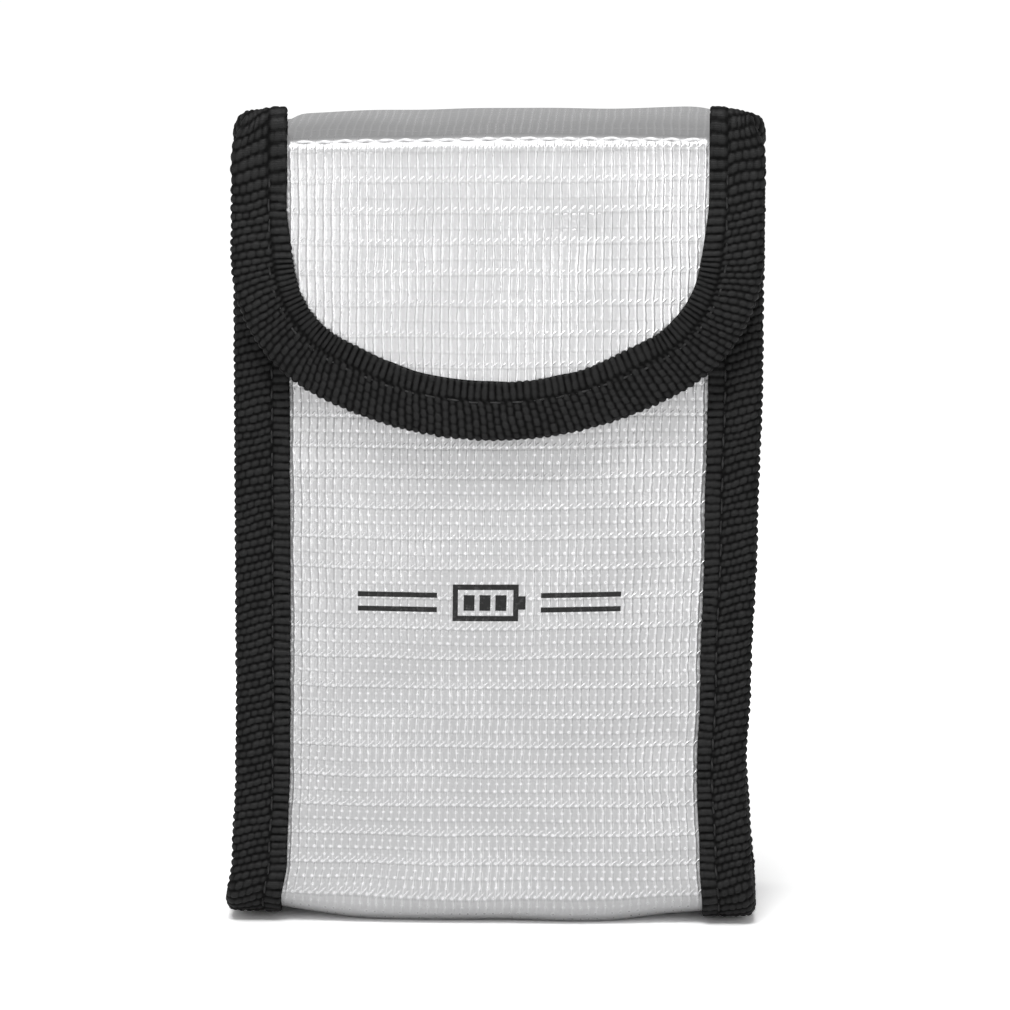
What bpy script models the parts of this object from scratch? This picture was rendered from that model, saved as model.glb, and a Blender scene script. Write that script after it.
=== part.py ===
"""Fire-resistant pouch for one drone battery, as an assembly of its sewn pieces.

One strip of coated glass cloth makes the front, the floor and the back. A gusset closes each side.
The strip and the gussets meet in flat flanges that stick out sideways, and folded webbing binds them.
A lid panel hinges on the back crease, and a round-ended flap hinges on the lid's front crease and
closes over the front with hook and loop tape. Units are metres; +Z is up and the front faces -Y.
The origin is the middle of the floor's flat outer face.
"""

import math
from collections import namedtuple

import bmesh
import bpy
from mathutils import Vector

MM = 0.001

# Driving dimensions of the pouch
POUCH_WIDTH = 95 * MM  # over the folds of the side bindings
SEAM_DEPTH = 39 * MM  # from the front seam plane to the back one
MOUTH_HEIGHT = 139.5 * MM  # floor to the top of the bound mouth
FLOOR_CORNER = 5.5 * MM  # radius of the strip's bends at the floor, in the seam plane
WEBBING_LEG = 10 * MM  # 20 mm webbing folded in half
FLANGE = 6.8 * MM  # binding fold to stitch line

# Cloth thicknesses, and the gap that keeps neighbouring pieces apart
CLOTH = 0.7 * MM
LINING = 0.5 * MM
WEBBING = 1.0 * MM
THREAD = 0.4 * MM
GAP = 0.3 * MM

# How far each panel swells when the pouch is filled
FRONT_SWELL = 5.0 * MM
BACK_SWELL = 3.0 * MM
CREASE_SWELL = 0.8 * MM
LID_SWELL = 2.3 * MM
GUSSET_SWELL = 2.0 * MM

# The flap's round end is a three-centred arch, measured on the binding's fold
ARCH_RADIUS = 72.1 * MM
CORNER_RADIUS = 27.4 * MM
FLAP_LENGTH = 54 * MM

# Hook and loop tape
LOOP_SIZE = (54 * MM, 20 * MM)
HOOK_SIZE = (50 * MM, 16 * MM)
TAPE_HEIGHT = 114 * MM  # floor to the middle of both tapes
LOOP_TAPE = 1.2 * MM
HOOK_TAPE = 1.4 * MM

# Layers of the flanges, as distances outwards from the seam plane
HALF_WIDTH = POUCH_WIDTH / 2
HALF_DEPTH = SEAM_DEPTH / 2
STITCH_X = HALF_WIDTH - FLANGE
SHELL_IN = GAP / 2
SHELL_OUT = SHELL_IN + CLOTH
BINDING_SLOT = SHELL_OUT + GAP
BINDING_OUT = BINDING_SLOT + WEBBING
THREAD_OUT = BINDING_OUT + GAP + THREAD
CLOTH_EDGE = HALF_WIDTH - WEBBING - GAP
FLOOR_SEAM = THREAD_OUT  # the floor's seam plane is as high as its binding and thread are thick
FLOOR_SWELL = FLOOR_SEAM - SHELL_OUT  # the floor swells down to z = 0
PLATEAU_RIM = 0.22  # share of the half width over which the floor slopes down to its flat middle

# Layers of the flap, outwards from the front seam plane, and of the lid, upwards from its underside
COVER_LINING_IN = WEBBING + GAP
COVER_LINING_OUT = COVER_LINING_IN + LINING
COVER_CLOTH_IN = COVER_LINING_OUT + GAP
COVER_CLOTH_OUT = COVER_CLOTH_IN + CLOTH
COVER_SLOT_OUT = COVER_CLOTH_OUT + GAP
COVER_OUT = COVER_SLOT_OUT + WEBBING
FLAP_IN = THREAD_OUT + GAP
LID_IN = MOUTH_HEIGHT + 0.4 * MM

# Hinge axes run along X, in the middle of the lid's and the flap's thickness
BACK_CREASE_Y = HALF_DEPTH + 0.2 * MM
FRONT_CREASE_Y = -(HALF_DEPTH + FLAP_IN + COVER_OUT / 2)
CREASE_HEIGHT = LID_IN + COVER_OUT / 2
BACK_CREASE = Vector((0, BACK_CREASE_Y, CREASE_HEIGHT))
FRONT_CREASE = Vector((0, FRONT_CREASE_Y, CREASE_HEIGHT))

# How far pieces stop short of a hinge axis
BACK_CLEARANCE = 3.4 * MM
BACK_CLOTH_CLEARANCE = 2.6 * MM
FRONT_CLEARANCE = 2.6 * MM
FRONT_CLOTH_CLEARANCE = 1.5 * MM
CREASE_STITCH_DROP = 2.2 * MM  # hinge axis down to the front crease's thread

# The gusset: its panel, and the lip of webbing that turns back along it
GUSSET_LAYER = -(SHELL_IN + CLOTH / 2)
GUSSET_BEND = 1.5 * MM
LIP_X = STITCH_X + CLOTH / 2 + 2 * GAP
LIP_DEPTH = 4.3 * MM
GUSSET_LINING_X = STITCH_X - (CLOTH + LINING) / 2 - GAP
MOUTH_END_Y = HALF_DEPTH - LIP_DEPTH - 2 * GAP

# Material colours, roughness and metallic values
LOOKS = {
    "silver_cloth": ((0.72, 0.72, 0.73), 0.35, 0.6),
    "lining_cloth": ((0.45, 0.46, 0.47), 0.8, 0.0),
    "black_webbing": ((0.02, 0.02, 0.022), 0.75, 0.0),
    "loop_tape": ((0.015, 0.015, 0.016), 0.95, 0.0),
    "hook_tape": ((0.02, 0.02, 0.021), 0.5, 0.0),
    "white_thread": ((0.8, 0.8, 0.8), 0.6, 0.0),
    "black_thread": ((0.015, 0.015, 0.016), 0.6, 0.0),
}

# A place on the U-shaped seam: y and z on the seam plane, the outward normal, how far the strip
# swells there at its middle, and the share of that swell that is the floor's flat plateau
Station = namedtuple("Station", "y z normal_y normal_z swell floor_share")


def clear_scene():
    for thing in list(bpy.data.objects):
        bpy.data.objects.remove(thing)


def material(name):
    found = bpy.data.materials.get(name)
    if found:
        return found
    colour, roughness, metallic = LOOKS[name]
    made = bpy.data.materials.new(name)
    made.use_nodes = True
    shader = made.node_tree.nodes["Principled BSDF"]
    shader.inputs["Base Color"].default_value = (*colour, 1)
    shader.inputs["Roughness"].default_value = roughness
    shader.inputs["Metallic"].default_value = metallic
    return made


def pivot(name, place, parent=None):
    """An empty on a hinge axis."""
    empty = bpy.data.objects.new(name, None)
    bpy.context.scene.collection.objects.link(empty)
    empty.parent = parent
    empty.location = place - parent.location if parent else place
    return empty


def add_object(name, shape, look, hinge=None, hinge_place=Vector()):
    """Turns a bmesh into an object; one on a hinge gets its origin on the hinge's axis."""
    bmesh.ops.recalc_face_normals(shape, faces=shape.faces)
    bmesh.ops.translate(shape, verts=shape.verts, vec=-hinge_place)
    mesh = bpy.data.meshes.new(name)
    shape.to_mesh(mesh)
    shape.free()
    mesh.shade_smooth()
    mesh.set_sharp_from_angle(angle=math.radians(35))
    mesh.materials.append(material(look))
    made = bpy.data.objects.new(name, mesh)
    bpy.context.scene.collection.objects.link(made)
    made.parent = hinge
    return made


def loft(sections):
    """A closed solid through rings of points: a band between neighbours, and a cap on each end.

    Splitting each quad across its short diagonal keeps nested sheets parallel.
    """
    shape = bmesh.new()
    rings = [[shape.verts.new(point) for point in section] for section in sections]
    for ring, following in zip(rings, rings[1:]):
        for i in range(len(ring)):
            j = (i + 1) % len(ring)
            shape.faces.new((ring[i], ring[j], following[j], following[i]))
    bmesh.ops.triangulate(shape, faces=shape.faces, quad_method="SHORT_EDGE")
    shape.faces.new(rings[0])
    shape.faces.new(rings[-1])
    return shape


def spread(low, high, count):
    """Evenly spaced values from low to high, both included."""
    return [low + (high - low) * i / (count - 1) for i in range(count)]


def smoothstep(t):
    t = min(max(t, 0), 1)
    return t * t * (3 - 2 * t)


def mirrored(values):
    """The values with their negatives before them, for a list that starts at zero."""
    return [-value for value in reversed(values[1:])] + list(values)


def dome(x):
    """A wall's swell across its width: 1 in the middle, 0 from the stitch line outwards."""
    return max(0, 1 - (x / STITCH_X) ** 2) ** 2


def plateau(x):
    """The floor's swell across its width: flat in the middle, 0 from the stitch line outwards."""
    return smoothstep((1 - abs(x) / STITCH_X) / PLATEAU_RIM)


def wall_swell(z, full):
    """A wall's swell at its middle: the floor's at the floor, full half-way up, little at the crease."""
    start = FLOOR_SEAM + FLOOR_CORNER
    t = min(max((z - start) / (CREASE_HEIGHT - start), 0), 1)
    straight = (1 - t) * FLOOR_SWELL + t * CREASE_SWELL
    return straight + (full - (FLOOR_SWELL + CREASE_SWELL) / 2) * 4 * t * (1 - t)


def seam_path(front_top, back_top, wall_steps=7, corner_steps=4, floor_steps=2):
    """Stations down the front seam, along the floor and up the back seam."""
    wall_foot = FLOOR_SEAM + FLOOR_CORNER
    stations = []
    for z in spread(front_top, wall_foot, wall_steps + 1):
        stations.append(Station(-HALF_DEPTH, z, -1, 0, wall_swell(z, FRONT_SWELL), 0))
    centre_y = FLOOR_CORNER - HALF_DEPTH
    for step in range(1, corner_steps + 1):
        turn = math.pi + math.pi / 2 * step / corner_steps
        normal = (math.cos(turn), math.sin(turn))
        y = centre_y + FLOOR_CORNER * normal[0]
        z = wall_foot + FLOOR_CORNER * normal[1]
        stations.append(Station(y, z, *normal, FLOOR_SWELL, step / corner_steps))
    for y in spread(centre_y, 0, floor_steps)[1:]:
        stations.append(Station(y, FLOOR_SEAM, 0, -1, FLOOR_SWELL, 1))
    # The back half mirrors the front half, apart from its top and its swell
    half = [s for s in stations if s.z <= wall_foot and s.y < 0]
    for s in reversed(half[1:]):
        stations.append(Station(-s.y, s.z, -s.normal_y, s.normal_z, s.swell, s.floor_share))
    for z in spread(wall_foot, back_top, wall_steps + 1):
        stations.append(Station(HALF_DEPTH, z, 1, 0, wall_swell(z, BACK_SWELL), 0))
    return stations


def strip_point(station, x, layer):
    """The point of the strip's layer at x, with the layer measured outwards from the seam plane."""
    across = (1 - station.floor_share) * dome(x) + station.floor_share * plateau(x)
    out = layer + station.swell * across
    return Vector((x, station.y + out * station.normal_y, station.z + out * station.normal_z))


def front_point(x, z, layer):
    """The point of a layer in front of the front seam plane."""
    return Vector((x, -HALF_DEPTH - layer - wall_swell(z, FRONT_SWELL) * dome(x), z))


def lid_point(x, y, layer):
    """The point of a lid layer, measured upwards from the lid's underside."""
    middle = (BACK_CREASE_Y + FRONT_CREASE_Y) / 2
    along = 1 - ((y - middle) / (BACK_CREASE_Y - middle)) ** 2
    return Vector((x, y, LID_IN + layer + LID_SWELL * dome(x) * max(0, along)))


def sheet_sections(stations, columns, low, high):
    """Rings for a sheet on the seam path, between two layers."""
    return [
        [strip_point(s, x, high) for x in columns] + [strip_point(s, x, low) for x in reversed(columns)]
        for s in stations
    ]


def make_strip():
    """The outer strip that makes the front, the floor and the back, and its lining."""
    columns = mirrored([0, 11 * MM, 22 * MM, STITCH_X * (1 - PLATEAU_RIM), HALF_WIDTH - WEBBING_LEG])
    columns = [-CLOTH_EDGE, -STITCH_X] + columns + [STITCH_X, CLOTH_EDGE]
    under_binding = MOUTH_HEIGHT - WEBBING - GAP
    stations = seam_path(under_binding, CREASE_HEIGHT - BACK_CLOTH_CLEARANCE)
    sections = sheet_sections(stations, columns, SHELL_IN, SHELL_OUT)
    add_object("outer_shell", loft(sections), "silver_cloth")
    inside = columns[2:-2]
    sections = sheet_sections(stations, inside, -SHELL_IN - LINING, -SHELL_IN)
    add_object("shell_lining", loft(sections), "lining_cloth")


def tape_shape(size, low, high):
    """A piece of tape that follows the front's swell, between two layers."""
    width, height = size
    columns = spread(-width / 2, width / 2, 7)
    sections = []
    for z in spread(TAPE_HEIGHT - height / 2, TAPE_HEIGHT + height / 2, 3):
        outer = [front_point(x, z, high) for x in columns]
        sections.append(outer + [front_point(x, z, low) for x in reversed(columns)])
    return loft(sections)


def make_tapes(hinge):
    """The loop tape on the front panel and the hook tape inside the flap."""
    loop_low = SHELL_OUT + GAP
    loop = tape_shape(LOOP_SIZE, loop_low, loop_low + LOOP_TAPE)
    add_object("loop_strip", loop, "loop_tape")
    hook_high = FLAP_IN + COVER_LINING_IN - GAP
    hook = tape_shape(HOOK_SIZE, hook_high - HOOK_TAPE, hook_high)
    add_object("hook_strip", hook, "hook_tape", hinge, FRONT_CREASE)


def gusset_side(name, side, panel_x, thickness, look, with_flange):
    """A side panel on the seam path. Its rows run from the seam to the panel's middle line."""
    top = MOUTH_HEIGHT - WEBBING - GAP
    medial_foot = FLOOR_SEAM + HALF_DEPTH
    shape = bmesh.new()
    rows = []
    for s in seam_path(top, top, wall_steps=6):
        row = []
        if with_flange:
            for x, layer in (
                (CLOTH_EDGE, GUSSET_LAYER),
                (panel_x + 0.9 * GUSSET_BEND, GUSSET_LAYER),
                (panel_x + 0.3 * GUSSET_BEND, GUSSET_LAYER - 0.25 * GUSSET_BEND),
            ):
                row.append((x, s.y + layer * s.normal_y, s.z + layer * s.normal_z))
        edge_y = s.y - GUSSET_BEND * s.normal_y
        edge_z = s.z - GUSSET_BEND * s.normal_z
        for share in (0, 0.18, 0.45, 0.7, 1):
            y = edge_y * (1 - share)
            z = edge_z + (max(s.z, medial_foot) - edge_z) * share
            row.append((panel_x + gusset_swell(y, z), y, z))
        rows.append([shape.verts.new((side * x, y, z)) for x, y, z in row])
    for row, following in zip(rows, rows[1:]):
        for i in range(len(row) - 1):
            shape.faces.new((row[i], row[i + 1], following[i + 1], following[i]))
    bmesh.ops.remove_doubles(shape, verts=shape.verts, dist=0.01 * MM)
    panel = add_object(name, shape, look)
    solidify = panel.modifiers.new("thickness", "SOLIDIFY")
    solidify.thickness = thickness
    solidify.offset = 0
    solidify.use_even_offset = True
    return panel


def gusset_swell(y, z):
    """How far a gusset stands out: nothing along its lip of webbing, nor at the mouth."""
    reach = HALF_DEPTH - LIP_DEPTH - GAP
    start = FLOOR_SEAM + LIP_DEPTH + GAP
    t = (z - start) / (MOUTH_HEIGHT - start)
    return GUSSET_SWELL * max(0, 1 - (y / reach) ** 2) * max(0, 1 - (2 * t - 1) ** 4)


def folded_webbing(inner_edge, fold, slot_low, slot_high, lip=None):
    """Outline of webbing folded round an edge, as (distance across, layer) pairs.

    It runs along the upper leg's outside to the fold, back under the lower leg, and along the slot.
    Both sides of the upper leg have a point on the stitch line, where a swollen panel starts to rise.
    A lip, if given, is (where the lower leg turns, how deep the turned end reaches).
    """
    high = slot_high + WEBBING
    low = slot_low - WEBBING
    round_off = 0.45 * (high - low)
    middle = (high + low) / 2
    stitch = fold - FLANGE
    outline = [(inner_edge, high), (stitch, high)]
    for turn in spread(90, -90, 5):
        across = fold - round_off * (1 - math.cos(math.radians(turn)))
        outline.append((across, middle + (high - middle) * math.sin(math.radians(turn))))
    if lip:
        lip_edge, lip_depth = lip
        outline += [(lip_edge + WEBBING, low), (lip_edge + WEBBING, -lip_depth)]
        outline += [(lip_edge, -lip_depth), (lip_edge, slot_low)]
    else:
        outline += [(inner_edge, low), (inner_edge, slot_low)]
    outline += [(fold - WEBBING, slot_low), (fold - WEBBING, slot_high)]
    return outline + [(stitch, slot_high), (inner_edge, slot_high)]


def tube_ring(centre, across, outwards):
    """The ring of a flattened thread about a point on its run."""
    ring = []
    for angle in spread(0, 2 * math.pi, 7)[:-1]:
        aside = 0.7 * THREAD * math.cos(angle) * across
        ring.append(centre + aside + THREAD / 2 * math.sin(angle) * outwards)
    return ring


def make_body_bindings():
    """Webbing round the flange of each side seam, and the thread that holds it."""
    fold = folded_webbing(
        HALF_WIDTH - WEBBING_LEG, HALF_WIDTH, -BINDING_SLOT, BINDING_SLOT, lip=(LIP_X, LIP_DEPTH)
    )
    path = seam_path(MOUTH_HEIGHT, CREASE_HEIGHT - BACK_CLEARANCE)
    thread_path = seam_path(MOUTH_HEIGHT - GAP, CREASE_HEIGHT - 2 * BACK_CLEARANCE)
    thread_layer = THREAD_OUT - THREAD / 2
    for side, name in ((-1, "left"), (1, "right")):
        sections = [[strip_point(s, side * x, layer) for x, layer in fold] for s in path]
        add_object(f"{name}_body_binding", loft(sections), "black_webbing")
        rings = []
        for s in thread_path:
            centre = strip_point(s, side * STITCH_X, thread_layer)
            rings.append(tube_ring(centre, Vector((side, 0, 0)), Vector((0, s.normal_y, s.normal_z))))
        add_object(f"{name}_binding_stitching", loft(rings), "black_thread")


def make_mouth_bindings():
    """Webbing over the free top edges of the front and of the two gussets."""
    leg = 0.9 * WEBBING_LEG
    foot = MOUTH_HEIGHT - leg
    fold = folded_webbing(foot, MOUTH_HEIGHT, -SHELL_IN - LINING - GAP, SHELL_OUT + GAP)
    end = HALF_WIDTH - WEBBING_LEG - 2 * GAP
    sections = [[front_point(x, z, layer) for z, layer in fold] for x in spread(-end, end, 7)]
    add_object("front_mouth_binding", loft(sections), "black_webbing")
    slot_in = GUSSET_LINING_X - LINING / 2 - GAP
    slot_out = STITCH_X + CLOTH / 2 + GAP
    fold = folded_webbing(foot, MOUTH_HEIGHT, slot_in, slot_out)
    for side, name in ((-1, "left"), (1, "right")):
        sections = []
        for y in spread(-MOUTH_END_Y, MOUTH_END_Y, 7):
            sections.append([(side * (x + gusset_swell(y, z)), y, z) for z, x in fold])
        add_object(f"{name}_mouth_binding", loft(sections), "black_webbing")


def make_back_crease_stitching():
    """The row of topstitching that sets the crease along the top of the back."""
    height = CREASE_HEIGHT - 2 * BACK_CLEARANCE
    end = HALF_WIDTH - WEBBING_LEG - GAP
    station = seam_path(height, height)[-1]
    rings = []
    for x in spread(-end, end, 7):
        centre = strip_point(station, x, SHELL_OUT + GAP + THREAD / 2)
        rings.append(tube_ring(centre, Vector((0, 0, 1)), Vector((0, 1, 0))))
    add_object("back_crease_stitching", loft(rings), "white_thread")


def make_lid_cloths(hinge):
    """The panel over the mouth, and its lining."""
    front = FRONT_CREASE_Y + FRONT_CLOTH_CLEARANCE
    back = BACK_CREASE_Y - BACK_CLOTH_CLEARANCE
    columns = mirrored(spread(0, STITCH_X, 5) + [CLOTH_EDGE])
    for name, low, high, look in (
        ("lid_panel", COVER_CLOTH_IN, COVER_CLOTH_OUT, "silver_cloth"),
        ("lid_lining", COVER_LINING_IN, COVER_LINING_OUT, "lining_cloth"),
    ):
        sections = []
        for y in spread(front, back, 7):
            outer = [lid_point(x, y, high) for x in columns]
            sections.append(outer + [lid_point(x, y, low) for x in reversed(columns)])
        add_object(name, loft(sections), look, hinge, BACK_CREASE)


def make_lid_bindings(hinge):
    """Webbing on the lid's two side edges."""
    fold = folded_webbing(HALF_WIDTH - WEBBING_LEG, HALF_WIDTH, WEBBING, COVER_SLOT_OUT)
    front = FRONT_CREASE_Y + FRONT_CLEARANCE
    back = BACK_CREASE_Y - BACK_CLEARANCE
    for side, name in ((-1, "left"), (1, "right")):
        sections = []
        for y in spread(front, back, 6):
            sections.append([lid_point(side * x, y, layer) for x, layer in fold])
        add_object(f"{name}_lid_binding", loft(sections), "black_webbing", hinge, BACK_CREASE)


def flap_edge(steps):
    """Points down one side of the flap and round to its lowest point, as (x, z, normal_x, normal_z)."""
    join = math.asin((HALF_WIDTH - CORNER_RADIUS) / (ARCH_RADIUS - CORNER_RADIUS))
    lowest = CREASE_HEIGHT - FLAP_LENGTH
    arch_z = lowest + ARCH_RADIUS
    corner_x = HALF_WIDTH - CORNER_RADIUS
    corner_z = arch_z - (ARCH_RADIUS - CORNER_RADIUS) * math.cos(join)
    straight_top = CREASE_HEIGHT - FRONT_CLEARANCE
    edge = [(HALF_WIDTH, z, 1, 0) for z in spread(straight_top, corner_z, 3)]
    for angle in spread(math.pi / 2, join, steps + 1)[1:]:
        normal = (math.sin(angle), -math.cos(angle))
        edge.append((corner_x + CORNER_RADIUS * normal[0], corner_z + CORNER_RADIUS * normal[1], *normal))
    for angle in spread(join, 0, steps // 2 + 1)[1:]:
        normal = (math.sin(angle), -math.cos(angle))
        edge.append((ARCH_RADIUS * normal[0], arch_z + ARCH_RADIUS * normal[1], *normal))
    return edge


def flap_path(steps=8):
    """The whole outline of the flap, from its right top end round to its left one."""
    right = flap_edge(steps)
    return right + [(-x, z, -normal_x, normal_z) for x, z, normal_x, normal_z in reversed(right[:-1])]


def make_flap_cloths(hinge):
    """The round-ended flap in front of the pouch, and its lining."""
    inset = WEBBING + GAP
    edge = [(x - inset * nx, z - inset * nz) for x, z, nx, nz in flap_edge(8)]
    edge[0] = (edge[0][0], CREASE_HEIGHT - FRONT_CLOTH_CLEARANCE)
    for name, low, high, look in (
        ("flap_panel", COVER_CLOTH_IN, COVER_CLOTH_OUT, "silver_cloth"),
        ("flap_lining", COVER_LINING_IN, COVER_LINING_OUT, "lining_cloth"),
    ):
        sections = []
        for half, z in edge[:-1]:
            columns = mirrored(spread(0, min(STITCH_X, 0.88 * half), 5) + [half])
            outer = [front_point(x, z, FLAP_IN + high) for x in columns]
            sections.append(outer + [front_point(x, z, FLAP_IN + low) for x in reversed(columns)])
        add_object(name, loft(sections), look, hinge, FRONT_CREASE)


def make_flap_binding(hinge):
    """Webbing down the flap's sides and round its end, and the thread that holds it."""
    fold = folded_webbing(-WEBBING_LEG, 0, FLAP_IN + WEBBING, FLAP_IN + COVER_SLOT_OUT)
    thread_layer = FLAP_IN + COVER_OUT + GAP + THREAD / 2
    sections = []
    rings = []
    for x, z, nx, nz in flap_path():
        sections.append([front_point(x + nx * a, z + nz * a, layer) for a, layer in fold])
        centre = front_point(x - nx * FLANGE, z - nz * FLANGE, thread_layer)
        rings.append(tube_ring(centre, Vector((nx, 0, nz)), Vector((0, -1, 0))))
    add_object("flap_binding", loft(sections), "black_webbing", hinge, FRONT_CREASE)
    add_object("flap_binding_stitching", loft(rings), "black_thread", hinge, FRONT_CREASE)


def make_crease_stitching(hinge):
    """The row of topstitching that sets the crease between the lid and the flap."""
    height = CREASE_HEIGHT - CREASE_STITCH_DROP
    layer = FLAP_IN + COVER_CLOTH_OUT + GAP + THREAD / 2
    end = HALF_WIDTH - WEBBING_LEG - GAP
    rings = []
    for x in spread(-end, end, 7):
        rings.append(tube_ring(front_point(x, height, layer), Vector((0, 0, 1)), Vector((0, -1, 0))))
    add_object("crease_stitching", loft(rings), "white_thread", hinge, FRONT_CREASE)


def main():
    clear_scene()
    lid_hinge = pivot("lid_hinge", BACK_CREASE)
    flap_hinge = pivot("flap_hinge", FRONT_CREASE, lid_hinge)
    make_strip()
    for side, name in ((-1, "left"), (1, "right")):
        gusset_side(f"{name}_gusset", side, STITCH_X, CLOTH, "silver_cloth", with_flange=True)
        gusset_side(f"{name}_gusset_lining", side, GUSSET_LINING_X, LINING, "lining_cloth", False)
    make_body_bindings()
    make_mouth_bindings()
    make_back_crease_stitching()
    make_lid_cloths(lid_hinge)
    make_lid_bindings(lid_hinge)
    make_flap_cloths(flap_hinge)
    make_flap_binding(flap_hinge)
    make_crease_stitching(flap_hinge)
    make_tapes(flap_hinge)


main()
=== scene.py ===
"""Looks of the fire-resistant battery pouch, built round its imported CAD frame.

Every sewn piece is its own sheet, laid along one of two section paths in the Y-Z plane. The body path
runs down the front, under the floor and up the back. The cover path runs up the back, over the back
crease, along the lid, over the front crease and down the flap. A point of a piece is given by its x, its
distance along the path, and its layer, which is its distance outwards. Lengths are in millimetres until
a mesh is made.
"""

import math

import bpy
import numpy as np
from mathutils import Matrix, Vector


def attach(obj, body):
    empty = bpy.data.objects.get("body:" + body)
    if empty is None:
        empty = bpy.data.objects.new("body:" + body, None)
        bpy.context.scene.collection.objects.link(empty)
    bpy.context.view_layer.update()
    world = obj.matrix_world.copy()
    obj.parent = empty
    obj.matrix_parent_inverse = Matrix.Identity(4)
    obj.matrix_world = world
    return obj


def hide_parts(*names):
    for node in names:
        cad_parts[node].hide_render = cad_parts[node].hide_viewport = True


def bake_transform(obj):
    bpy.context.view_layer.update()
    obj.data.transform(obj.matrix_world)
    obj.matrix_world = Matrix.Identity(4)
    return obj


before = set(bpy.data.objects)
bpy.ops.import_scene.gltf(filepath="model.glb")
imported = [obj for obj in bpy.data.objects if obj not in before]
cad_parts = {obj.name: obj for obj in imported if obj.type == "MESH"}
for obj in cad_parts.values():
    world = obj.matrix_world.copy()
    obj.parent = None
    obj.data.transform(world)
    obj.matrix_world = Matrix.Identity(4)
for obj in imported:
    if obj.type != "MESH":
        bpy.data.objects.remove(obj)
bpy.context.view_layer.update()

MM = 0.001

# The pouch, as in the CAD
HALF_WIDTH = 47.5
HALF_DEPTH = 19.5
MOUTH_HEIGHT = 139.5
FLOOR_CORNER = 5.5
WEBBING_LEG = 10.0
FLANGE = 6.8
STITCH_X = HALF_WIDTH - FLANGE
CLOTH_EDGE = 46.2
FLOOR_SEAM = 2.85
LID_UNDERSIDE = 139.9
COVER_THICKNESS = 4.1
FLAP_GAP = 3.15
CREASE_HEIGHT = LID_UNDERSIDE + COVER_THICKNESS / 2
FRONT_CREASE_Y = -(HALF_DEPTH + FLAP_GAP + COVER_THICKNESS / 2)
GUSSET_X = STITCH_X
GUSSET_LINING_X = 39.8

# Thicknesses of the visible plies
CLOTH = 0.7
LINING = 0.5
WEBBING = 1.0

# Body layers, outwards from the seam plane
SHELL_MIDDLE = 0.5
SHELL_OUT = SHELL_MIDDLE + CLOTH / 2
SHELL_IN = SHELL_MIDDLE - CLOTH / 2 - 0.1
BODY_SLOT = SHELL_OUT + 0.05
BODY_OUT = BODY_SLOT + WEBBING

# Cover layers, outwards from the middle of the cover's cloth
COVER_CLOTH_OUT = CLOTH / 2
COVER_SLOT_OUT = COVER_CLOTH_OUT + 0.05
COVER_OUT = COVER_SLOT_OUT + WEBBING
COVER_LINING_OUT = -CLOTH / 2 - 0.1
COVER_LINING_IN = COVER_LINING_OUT - LINING
COVER_SLOT_IN = COVER_LINING_IN - 0.05

# Swell of each wall when the pouch stands filled out
FRONT_SWELL = 5.0
BACK_SWELL = 3.0
CREASE_SWELL = 0.8
FLOOR_SWELL = FLOOR_SEAM - SHELL_OUT
FLAP_HANG = 2.2
PLATEAU_RIM = 0.5

# The flap's outline, on the binding's fold
ARCH_RADIUS = 72.1
CORNER_RADIUS = 27.4
FLAP_LENGTH = 52.4

# Cloth weave: ribs run up the cloth, and at every second cross yarn they step over to their neighbour
RIB_PITCH = 1.5
YARN_PITCH = 2.7

# Length of one twist of the sewing thread
THREAD_TWIST = 0.55

# Webbing: its weave, its cut edges, and the spacing of points on its shown and its hidden side
ROW_PITCH = 1.41
BUMP_PITCH = 1.4
ROW_RELIEF = 0.55
CHAMFER = 0.25
SHOWN_STEP = 0.25
HIDDEN_STEP = 0.6
WEBBING_STEP = ROW_PITCH / 5


SIDES = ((-1, "left"), (1, "right"))


def spaced(low, high, step):
    """Even numbers from low to high, about a step apart."""
    return np.linspace(low, high, max(2, round((high - low) / step) + 1))


def smoothstep(t):
    t = np.clip(t, 0, 1)
    return t * t * (3 - 2 * t)


def ease(value, places, heights):
    """A smooth curve through (places, heights), level at each of them."""
    places = np.asarray(places, float)
    heights = np.asarray(heights, float)
    value = np.asarray(value, float)
    i = np.clip(np.searchsorted(places, value) - 1, 0, len(places) - 2)
    t = smoothstep((value - places[i]) / (places[i + 1] - places[i]))
    return heights[i] + (heights[i + 1] - heights[i]) * t


def distances(points):
    """Distance along a line of points, from its first point to each."""
    return np.concatenate([[0], np.cumsum(np.linalg.norm(np.diff(points, axis=0), axis=1))])


def resampled(points, lengths, places):
    """The points of a line at the given distances along it."""
    return np.stack([np.interp(places, lengths, column) for column in points.T], axis=-1)


def directions(points):
    """Unit directions along a line of points."""
    tangent = np.gradient(points, axis=0)
    return tangent / np.linalg.norm(tangent, axis=1)[:, None]


def bell(distance, width):
    return np.exp(-((distance / width) ** 2))


def ripple(u, v, size, seed, waves=7):
    """Smooth random relief between about -1 and 1, with features of the given size."""
    rng = np.random.default_rng(seed)
    total = np.zeros(np.broadcast(u, v).shape)
    for _ in range(waves):
        direction = rng.uniform(0, math.pi)
        frequency = 2 * math.pi / (size * rng.uniform(0.8, 2.2))
        phase = rng.uniform(0, 2 * math.pi)
        total = total + np.sin(frequency * (u * math.cos(direction) + v * math.sin(direction)) + phase)
    return total / math.sqrt(waves)


# ---- section paths


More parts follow.
